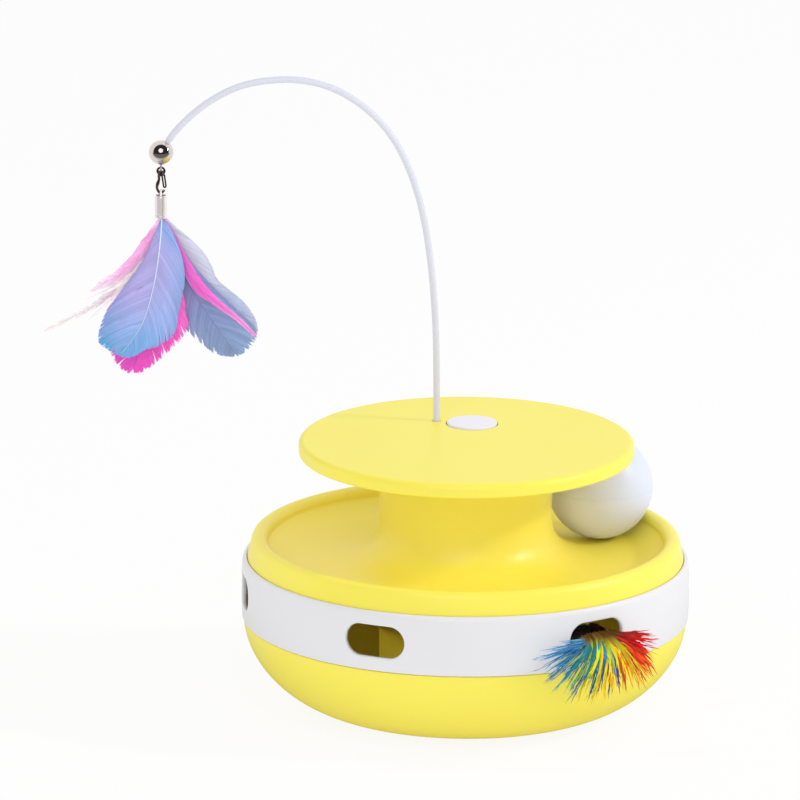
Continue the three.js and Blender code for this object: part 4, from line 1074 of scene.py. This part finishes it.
plumes = {
    "frontBluePlume": {
        "node": "front_blue_feather", "slot": "blue_feather", "layer": -3.0, "lean": -11.0,
        "cup": 2.6,
        "shaft": [(0.5, 0), (0.1, -8), (-0.7, -16), (-2.1, -26.2), (-3.8, -34.2), (-6.1, -42.3),
            (-8.9, -48.8), (-13, -55), (-17.5, -60.2)],
        "left": [(0.2, -3.4), (-2.3, -10.1), (-4.7, -16.7), (-8.1, -23.3), (-13.3, -30.2),
            (-18.9, -36), (-23.7, -42.6), (-26.5, -48.5), (-27.6, -56.3), (-22.8, -59.2),
            (-17.8, -61.2)],
        "right": [(1.1, -3.4), (5, -7.5), (7.9, -13.8), (9.8, -18.9), (10.9, -24.7), (10.9, -30.6),
            (9.8, -37.1), (8.3, -44.5), (7.3, -50.3), (5.2, -54.7), (1.8, -56.4), (-2.4, -58.5),
            (-6.3, -58.6), (-9.4, -60.5), (-12.9, -62.0), (-17.0, -61.6)],
        "barbs": 300, "sweep": 0.5, "quill": 0.34, "fray": 0.012,
        "stops": [(0.0, "#7FA6E4"), (0.25, "#AFA6E0"), (0.55, "#B0AAE4"), (0.8, "#98AEE6"),
            (1.0, "#5CA8DA")],
        "sideHex": "#78B0EC", "sideShare": 0.7, "quillHex": "#DCE9F7",
    },
    "lowerPinkPlume": {
        "node": "lower_pink_feather", "slot": "pink_feather", "layer": 0.2, "lean": -2.0,
        "cup": 1.5,
        "shaft": [(0.7, 0), (-0.1, -13), (-1.1, -26.2), (-5.7, -48.1), (-12.1, -71.1)],
        "left": [(0, -4.3), (-6.2, -20.2), (-13.1, -32.5), (-19.6, -39.3), (-25.1, -45.2),
            (-24.9, -53.2), (-23.1, -60.5), (-21.8, -65.6), (-18.4, -70), (-14.2, -72.4)],
        "right": [(1.8, -4.3), (6.9, -22.5), (11.4, -40.8), (12.6, -51.8), (9.5, -58.3), (5.3, -62),
            (1.9, -64.9), (-4.4, -70), (-8.6, -72.2), (-11.7, -72.1)],
        "barbs": 300, "sweep": 0.55, "quill": 0.34, "fray": 0.1,
        "stops": [(0.0, "#FBAEE6"), (0.4, "#FB84DC"), (0.75, "#FC66D4"), (1.0, "#FC56D2")],
        "sideHex": "#F64FC0", "sideShare": 0.4, "quillHex": "#E22BA8",
    },
    "leftPinkPlume": {
        "node": "left_pink_feather", "slot": "pink_feather", "layer": -1.2, "lean": -6.0,
        "cup": 1.0,
        "shaft": [(0.5, 0), (-1.4, -5), (-4.5, -10.1), (-10.7, -18.9), (-16.9, -25.5),
            (-23.1, -29.1), (-28.1, -30.5)],
        "left": [(-0.3, -2.1), (-6.2, -7.9), (-10, -13.4), (-14.2, -18.9), (-19, -24),
            (-23.2, -26.5), (-28.1, -29.4)],
        "right": [(0.4, -4.3), (-3.7, -13), (-7.8, -20.3), (-13.4, -26.2), (-18.9, -30.2),
            (-25.9, -32.8), (-33.6, -35.3)],
        "barbs": 130, "sweep": 0.55, "quill": 0.2, "fray": 0.28,
        "stops": [(0.0, "#FAD2F0"), (0.35, "#FDA6E8"), (0.7, "#FDBDEE"), (1.0, "#FDE6F7")],
        "sideHex": "#F6D7EE", "sideShare": 0.3, "quillHex": "#F6C2E6",
    },
    "rightLilacPlume": {
        "node": "right_lilac_feather", "slot": "lilac_feather", "layer": 2.0, "lean": 8.0,
        "cup": 2.0,
        "shaft": [(1.6, 0), (3.6, -6), (7.2, -13), (12.6, -24.7), (19.7, -33.5), (28.2, -40.8),
            (36.7, -48.1), (43.4, -55.8)],
        "left": [(1.1, -2.8), (4.7, -13), (9.1, -24.7), (16.2, -35), (24.7, -43), (33.9, -50.3),
            (43, -56.6)],
        "right": [(2.5, -2.4), (8.9, -8.3), (15.9, -14.3), (20.9, -20.3), (23.8, -26.5),
            (26.3, -32.4), (30.2, -35.7), (35.9, -40.1), (40.2, -45.2), (42.8, -49.9),
            (43.7, -55.4)],
        "barbs": 240, "sweep": 0.5, "quill": 0.28, "fray": 0.03,
        "stops": [(0.0, "#D8D0EA"), (0.4, "#D6D4EA"), (0.75, "#B4C8E8"), (1.0, "#B0B8DE")],
        "sideHex": "#C2CCEA", "sideShare": 0.5, "quillHex": "#F0B4E2",
    },
    "rightGreyPlume": {
        "node": "right_grey_feather", "slot": "grey_blue_feather", "layer": 1.0, "lean": 4.0,
        "cup": 2.0,
        "shaft": [(1.4, 0), (3.4, -8), (6.2, -17.4), (11.9, -30.6), (19.1, -43), (27, -54.7),
            (34.1, -65.6)],
        "left": [(0.9, -2.8), (3.4, -18.9), (6.7, -33.5), (8.6, -43), (8.6, -48.8), (11.2, -54.7),
            (15.1, -58.3), (19.4, -62), (24, -65.3), (28.5, -66.4), (33.0, -66.4)],
        "right": [(2.1, -2.8), (9, -16), (14.7, -26.2), (22.5, -35), (31.7, -43), (39.6, -50.3),
            (43.6, -56.1), (41.8, -60.9), (38.3, -64.2), (35.0, -66.1)],
        "barbs": 300, "sweep": 0.5, "quill": 0.3, "fray": 0.1,
        "stops": [(0.0, "#B998D6"), (0.35, "#AE96D0"), (0.65, "#8E9ED2"), (1.0, "#8CA2CC")],
        "sideHex": "#8AA8D8", "sideShare": 0.6, "quillHex": "#8286BC",
    },
    "pinkStrandPlume": {
        "node": "pink_strand_feather", "slot": "pink_feather", "layer": -0.6, "lean": -1.0,
        "cup": 0.3,
        "shaft": [(1.2, 0), (2.6, -3.5), (4.6, -7.2), (9, -16.7), (12.6, -26.2), (18.3, -33.5),
            (26.8, -40.4), (35.3, -47.4), (43.1, -55.4)],
        "left": [(0.9, -2.4), (4.2, -7.5), (8.4, -17), (11.2, -27.6), (16.2, -35.7), (24.9, -41.2),
            (34.2, -47.7), (42.9, -55.6)],
        "right": [(1.6, -2.1), (4.9, -6.9), (9.6, -16.1), (14.3, -24.7), (20.2, -32.6),
            (27.6, -39.9), (35.9, -46.9), (43.5, -55.3)],
        "barbs": 110, "sweep": 0.6, "quill": 0.2, "fray": 0.12,
        "stops": [(0.0, "#C08AD8"), (0.3, "#E070D2"), (0.6, "#F56CD6"), (1.0, "#F7A2E2")],
        "sideHex": "#F77BD8", "sideShare": 0.4, "quillHex": "#F25CC8",
    },
    "whiteWispPlume": {
        "node": "white_wisp_feather", "slot": "pale_feather", "layer": 2.6, "lean": 10.0,
        "cup": 0.3,
        "shaft": [(0.5, 0), (-1.9, -8), (-5.1, -17.4), (-14.7, -29.8), (-24.4, -40.1), (-34.8, -47),
            (-45.3, -52.9), (-52.1, -56.3)],
        "left": [(0.2, -2.8), (-5.7, -17.6), (-15.3, -29.8), (-25.0, -39.8), (-35.4, -46.6),
            (-45.6, -52.5), (-52.4, -56)],
        "right": [(1.1, -3.5), (-4.4, -17.7), (-13.6, -30.2), (-23.2, -40.3), (-33.3, -47.4),
            (-44.1, -53.2), (-51.9, -56.9)],
        "barbs": 110, "sweep": 0.6, "quill": 0.22, "fray": 0.15,
        "stops": [(0.0, "#FFFAFE"), (0.4, "#FFFCFE"), (0.8, "#FFFBFC"), (1.0, "#FCF3F4")],
        "sideHex": "#FAF4F6", "sideShare": 0.3, "quillHex": "#F3ECEE",
    },
}
# Loose pale tufts that belong to the left pink feather: shaft, half width and barbs
wisps = [
    ([(0.5, 0), (-2.3, -11.6), (-6.4, -19.6), (-11.3, -26.2), (-16.8, -32.8),
      (-23, -39.3)], 3.0, 46),
    ([(0.3, -2), (-4.0, -13.2), (-9.4, -22.4), (-16.5, -29.4), (-24.5, -34.2),
      (-33.4, -37.8)], 1.2, 34),
    ([(0.2, -3), (-3.2, -14.8), (-9.2, -25.0), (-17.5, -33.8), (-26.0, -41.5),
      (-32.5, -47.8)], 0.8, 26),
]
wispDyes = [(0.0, "#FFF2FB"), (0.5, "#FFF8FA"), (1.0, "#FFF2FA")]
toBack = Vector((0, 1, 0))


def along(line, share):
    at = min(max(share, 0.0), 1.0) * (len(line) - 1)
    i = min(int(at), len(line) - 2)
    return line[i].lerp(line[i + 1], at - i)


# The curve from a to c that bends towards b
def arch(a, b, c, steps):
    return [a * (1 - t) ** 2 + b * (2 * t * (1 - t)) + c * t ** 2
            for t in (q / steps for q in range(steps + 1))]


def ribbon(form, line, width, sideways, taper, dye, tone, lift=0.0, slot=0):
    points, faces, vane, barb = [], [], [], []
    last = len(line) - 1
    for k, place in enumerate(line):
        share = k / last
        tangent = (line[min(k + 1, last)] - line[max(k - 1, 0)]).normalized()
        slim = taper(share)
        half = tangent.cross(sideways).normalized() * (width / 2 * slim)
        rise = Vector((0, lift * slim, 0))
        points += [place - half - rise, place + half + rise]
        vane += [dye(share)] * 2
        barb += [(tone, share)] * 2
        if k:
            faces.append((2 * k - 2, 2 * k - 1, 2 * k + 1, 2 * k))
    form.add(points, faces, slot, vane, barb)


barbs = {
    "clump": (3, 11), "clumpShift": 0.008, "clumpTone": (0.35, 0.65),  # barbs that cling together
    "fray": 0.6, "tone": 0.3, "bow": 0.13, "cupAt": 18, "ripple": (0.05, 2.1),
    "width": 0.66, "wispWidth": 0.42, "widths": (0.85, 1.2), "tilt": 0.09, "taperFrom": 0.78,
    "steps": 6,
}


def barbTaper(share):
    full = barbs["taperFrom"]
    return 1.0 if share < full else max(0.06, 1 - ((share - full) / (1 - full)) ** 1.3)


def strandTaper(share):
    return (0.45 + 0.55 * min(1.0, share * 3)) * (1 - share ** 2.2) + 0.03


def growBarbs(form, rng, shaft, edges, count, sweepShare, fray, cup, width, slot=0):
    for sideSign, edge in ((-1, edges[0]), (1, edges[1])):
        clump, clumpShift, clumpShort, clumpTone = 0, 0.0, 0.0, 0.5
        for k in range(count):
            if clump <= 0:
                clump = rng.randint(*barbs["clump"])
                clumpShift = rng.uniform(-barbs["clumpShift"], barbs["clumpShift"])
                clumpShort = rng.random() ** 2 * fray
                clumpTone = rng.uniform(*barbs["clumpTone"])
            clump -= 1
            share = (k + 0.5) / count
            start = along(shaft, 0.005 + 0.975 * share)
            end = along(edge, min(1.0, max(0.0, share ** sweepShare + clumpShift)))
            reach = end - start
            end = start + reach * (1 - clumpShort - rng.random() ** 3 * fray * barbs["fray"])
            forward = (along(shaft, share + 0.05) - along(shaft, share - 0.02)).normalized()
            outward = forward.cross(toBack).normalized() * (-sideSign)
            if outward.dot(reach) < 0:
                outward = -outward
            length = (end - start).length
            bend = start.lerp(end, 0.5) + outward * (barbs["bow"] * length)
            line = arch(start, bend, end, barbs["steps"])
            high, often = barbs["ripple"]
            for q, place in enumerate(line):
                t = q / barbs["steps"]
                place.y += cup * (t * length / barbs["cupAt"]) ** 2 + high * math.sin(k * often)
            tone = min(1.0, max(0.0, clumpTone + rng.uniform(-barbs["tone"], barbs["tone"])))
            root, tip = (share, 0.5), (min(1.0, share + 0.25), 0.5 + 0.5 * sideSign)
            ribbon(form, line, width * rng.uniform(*barbs["widths"]), toBack, barbTaper,
                   lambda s: between(root, tip, s), tone, barbs["tilt"] * sideSign, slot)


def plume(name, spec):
    rng = random.Random(name)
    root = Vector(teaser["root"])

    def place(x, z):
        down = max(0.0, -z)
        depth = spec["layer"] * min(1.0, down / 16) + spec["lean"] * (down / 62) ** 1.5
        return root + Vector((x, depth, z))

    def curve(points, shift=0.0):
        smoothed = throughPoints([(x, 0, z) for x, z in points], 8)
        return [place(v.x, v.z) + Vector((0, shift, 0)) for v in smoothed]

    shaft = spaced(curve(spec["shaft"]), 80)
    # The vanes start inside the ferrule
    first = 1.5 if spec["barbs"] > 200 else 0.5
    edges = [spaced(curve([(start, -0.3)] + spec[side]), 120)
             for side, start in (("left", -first), ("right", first))]
    form = Form()
    growBarbs(form, rng, shaft, edges, spec["barbs"], spec["sweep"], spec["fray"], spec["cup"],
              barbs["width"])
    shares = [k / 80 for k in range(81)]
    radii = [max(0.07, spec["quill"] * (1 - 0.86 * share)) for share in shares]
    sweep([p + Vector((0, -0.12, 0)) for p in shaft], radii, 8, 1, form, vane=shares)
    title, horn = name[0].upper() + name[1:], spec["quillHex"]
    materials = [dyedGoose("dyed" + title, spec["stops"], spec["sideHex"], spec["sideShare"]),
                 mouldedPlastic("horn" + title, horn, horn, 1.54, 0.4)]
    if name == "leftPinkPlume":
        for line, half, count in wisps:
            loose = spaced(curve(line, 0.5), 60)
            sides = [[], []]
            for k, p in enumerate(loose):
                tangent = (loose[min(k + 1, 60)] - loose[max(k - 1, 0)]).normalized()
                spread = half * math.sin(math.pi * min(1.0, 0.15 + k / 60 * 0.85)) ** 0.7
                for side, sign in zip(sides, (-1, 1)):
                    side.append(p + tangent.cross(toBack).normalized() * (-sign * spread))
            growBarbs(form, rng, loose, sides, count, 0.55, 0.25, 0.4, barbs["wispWidth"], 2)
        materials.append(dyedGoose("dyedPaleWisps", wispDyes, "#F8ECE4", 0.5))
    makePiece(name, form, materials, "teaser", [spec["node"]], weld=0, sharp=180)


for name, spec in plumes.items():
    plume(name, spec)
print("teaser made")


# Rainbow tuft out of the slot

tuft = {
    "rootR": 101.0, "quill": (-21.5, -17, -12), "quillR": 1.4,
    "strands": 300, "reach": (0.55, 1.02), "width": (1.0, 2.1),
    "thinShare": 0.2, "thinReach": (0.7, 1.04), "thinWidth": (0.4, 0.8),
    # short strands in the slot: count, their painted shade as places on the ramp, and width
    "inner": 260, "innerPaintedShade": (0.955, 0.975), "innerWidth": (1.8, 3.2),
    "hairs": 3, "hairLength": (3.0, 7.0), "hairWidth": (0.3, 0.5),
    "tips": [(12, -43.2, 5.1), (12, -44.4, -7.2), (16, -39.9, -14.6), (20, -35.1, -18.3),
             (22, -32.2, -20.2), (24, -26.5, -21.1), (25, -20.1, -21.0), (25, -6.9, -19.5),
             (24, 3.1, -15.8), (22, 10.7, -17.6), (20, 15.7, -13.3), (18, 19.5, -5.9),
             (16, 19.2, 4.6)],
    # up to this share from left to right: dyes near the root and at the tip, as places on the ramp
    "dyes": [
        (0.1, ((0.25, 0.14), (0.22, 0.17), (0.08, 0.12))),
        (0.22, ((0.25, 0.2), (0.27, 0.08), (0.34, 0.25))),
        (0.36, ((0.27, 0.22), (0.34, 0.06), (0.46, 0.5), (0.27, 0.0), (0.3, 0.24), (0.34, 0.3))),
        (0.5, ((0.34, 0.02), (0.46, 0.56), (0.3, 0.0), (0.34, 0.3), (0.57, 0.6))),
        (0.6, ((0.46, 0.57), (0.57, 0.62), (0.57, 0.7), (0.34, 0.02))),
        (0.7, ((0.57, 0.66), (0.57, 0.72), (0.66, 0.78), (0.46, 0.57))),
        (0.8, ((0.57, 0.68), (0.67, 0.78), (0.94, 0.8), (0.57, 0.8))),
        (0.9, ((0.92, 0.8), (0.94, 0.86), (0.67, 0.78))),
        (1.01, ((0.9, 0.88), (0.88, 0.88), (0.92, 0.87))),
    ],
    "overDyes": ((0.44, 0.47), (0.46, 0.5), (0.47, 0.55)),
}


def strand(form, line, width, dye, tone, facing, startShare):
    def dyeAt(share):
        deeper = min(1.0, (share * 1.25) ** 2)
        return startShare + (1 - startShare) * share, dye[0] + (dye[1] - dye[0]) * deeper

    ribbon(form, line, width, Vector((0.3 * facing, -0.7, 0.7 + 0.5 * facing)), strandTaper,
           dyeAt, tone)


def rainbowTuft():
    rng = random.Random("rainbow")
    form = Form()
    turn = math.radians(band["firstSlot"])
    outward = Vector((math.sin(turn), -math.cos(turn), 0))
    sideways = Vector((math.cos(turn), math.sin(turn), 0))
    root = outward * tuft["rootR"] + Vector((0, 0, band["slotZ"]))
    spray = rng.uniform

    def place(out, side, up):
        return root + outward * out + sideways * side + Vector((0, 0, up))

    sweep([place(out, 0, 0) for out in tuft["quill"]], tuft["quillR"], 20, 1, form)
    # Short strands, in the shade of the slot, fan out from the quill; their near black brown is
    # painted shade
    for k in range(tuft["inner"]):
        side = -14 + 24 * rng.random() ** 1.25
        rise = 7.2 - 0.045 * (side + 14) ** 1.5
        line = arch(place(-13 + spray(-1, 1), side * 0.4, spray(-1, 3)),
                    place(-9, side * 0.9, spray(-4, rise)), place(-5.5, side, spray(-6, rise)), 10)
        strand(form, line, spray(*tuft["innerWidth"]), tuft["innerPaintedShade"], rng.random(),
               spray(-0.5, 0.5), 0.4)
    # Long strands start in a row over the quill, bend down and end along the measured outline
    tips = [Vector(t) for t in tuft["tips"]]
    for k in range(tuft["strands"]):
        spread = min(1.0, max(0.0, (k + 0.5) / tuft["strands"] + spray(-0.03, 0.03)))
        thin = rng.random() < tuft["thinShare"]
        tip = along(tips, spread)
        reach = spray(*tuft["thinReach" if thin else "reach"])
        tip = Vector((tip.x * (0.5 + 0.5 * reach) + spray(-3, 2), tip.y * reach + spray(-1.5, 1.5),
                      tip.z * reach + spray(-1.5, 1.5)))
        if thin:
            tip.x += 2.0
        start = (-4.5 + spray(-1, 1), 1 + 17 * (spread - 0.5) + spray(-1.6, 1.6), spray(-4.6, 1.4))
        bend = (5 + tip.x * 0.35, start[1] * 0.75 + tip.y * 0.2 + spray(-1.2, 1.2),
                tip.z * 0.12 + 1.5 + spray(-1.5, 1.2))
        dye = rng.choice(next(choice for limit, choice in tuft["dyes"] if spread < limit))
        if thin and 0.08 < spread < 0.82:
            dye = rng.choice(tuft["overDyes"])
        tone = rng.random()
        width = spray(*tuft["thinWidth" if thin else "width"])
        line = arch(place(*start), place(*bend), place(*tip), 10)
        strand(form, line, width, dye, tone, spray(-0.5, 0.5), 0.0)
        # Short hairs stand off the outer half of a strand and bow along it
        for _ in range(0 if thin else tuft["hairs"]):
            t = spray(0.45, 0.97)
            at = along(line, t)
            ahead = (along(line, min(1.0, t + 0.1)) - along(line, t - 0.1)).normalized()
            aside = ahead.cross(Vector((spray(-1, 1), spray(-1, 1), spray(-1, 1)))).normalized()
            length = spray(*tuft["hairLength"])
            hair = [at + ahead * (length * s) + aside * (length * 0.28 * s * (1.1 - 0.35 * s))
                    for s in (0, 0.35, 0.7, 1)]
            here = dye[0] + (dye[1] - dye[0]) * t
            strand(form, hair, spray(*tuft["hairWidth"]), (here, dye[1]), min(1.0, tone + 0.12),
                   spray(-1, 1), t * 0.9)
    makePiece("rainbowBurst", form, [rainbowMarabou("dipDyedMarabou"), innerNylon], "rotor",
              ["rainbow_tuft"], weld=0, sharp=180)


rainbowTuft()
print("tuft made")


# Finishes for the CAD pieces that stay

# Painted glow on the column: its colour, the heights (m) over which it fades out, and its strength
# at the foot
paintedGlow = {"hex": "#FFE03C", "from": 0.031, "to": 0.045, "strength": 0.16}


def paintedGlowAbs():
    # Painted glow: an emission at the foot of the column behind the slots, fading out upwards,
    # stands in for daylight that comes through the thin walls
    material = mouldedPlastic("yellowAbsPaintedGlow", "#FAED55", "#F8E94E", 1.54, 0.40)
    tree = material.node_tree
    place = addNode(tree, "NewGeometry")
    split = addNode(tree, "SeparateXYZ", {0: (place, "Position")})
    fade = addNode(tree, "MapRange", {0: (split, "Z"), 1: paintedGlow["from"], 2: paintedGlow["to"],
                                      3: paintedGlow["strength"], 4: 0.0})
    setInputs(tree.nodes["Principled BSDF"], {"Emission Color": paintedGlow["hex"],
                                              "Emission Strength": fade})
    return material


finishes = [
    (paintedGlowAbs(), ["hub_tower"]),
    (yellowAbs, ["feather_carrier", "feather_clip"]),
    (innerNylon, ["drive_pinion", "wand_socket", "switch_plunger"]),
    (blackNylon, ["push_switch"]),
    (boardMask, ["circuit_board"]),
    (gearBrass, ["gearbox"]),
    (leadBlack, ["battery_lead"]),
    (leadRed, ["motor_lead"]),
    (cellWrap, ["battery_cell_1", "battery_cell_2", "battery_cell_3"]),
    (zincSteel, ["retaining_clip", "gearbox_shaft", "motor_can", "battery_contact_left",
                 "battery_contact_right", "bell_pellet", "disc_screw_1", "disc_screw_2",
                 "disc_screw_3", "board_screw_1", "board_screw_2"]),
]
for material, nodes in finishes:
    for node in nodes:
        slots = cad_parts[node].data.materials
        slots.clear()
        slots.append(material)
print("finishes set on", sum(len(nodes) for _, nodes in finishes), "kept pieces")
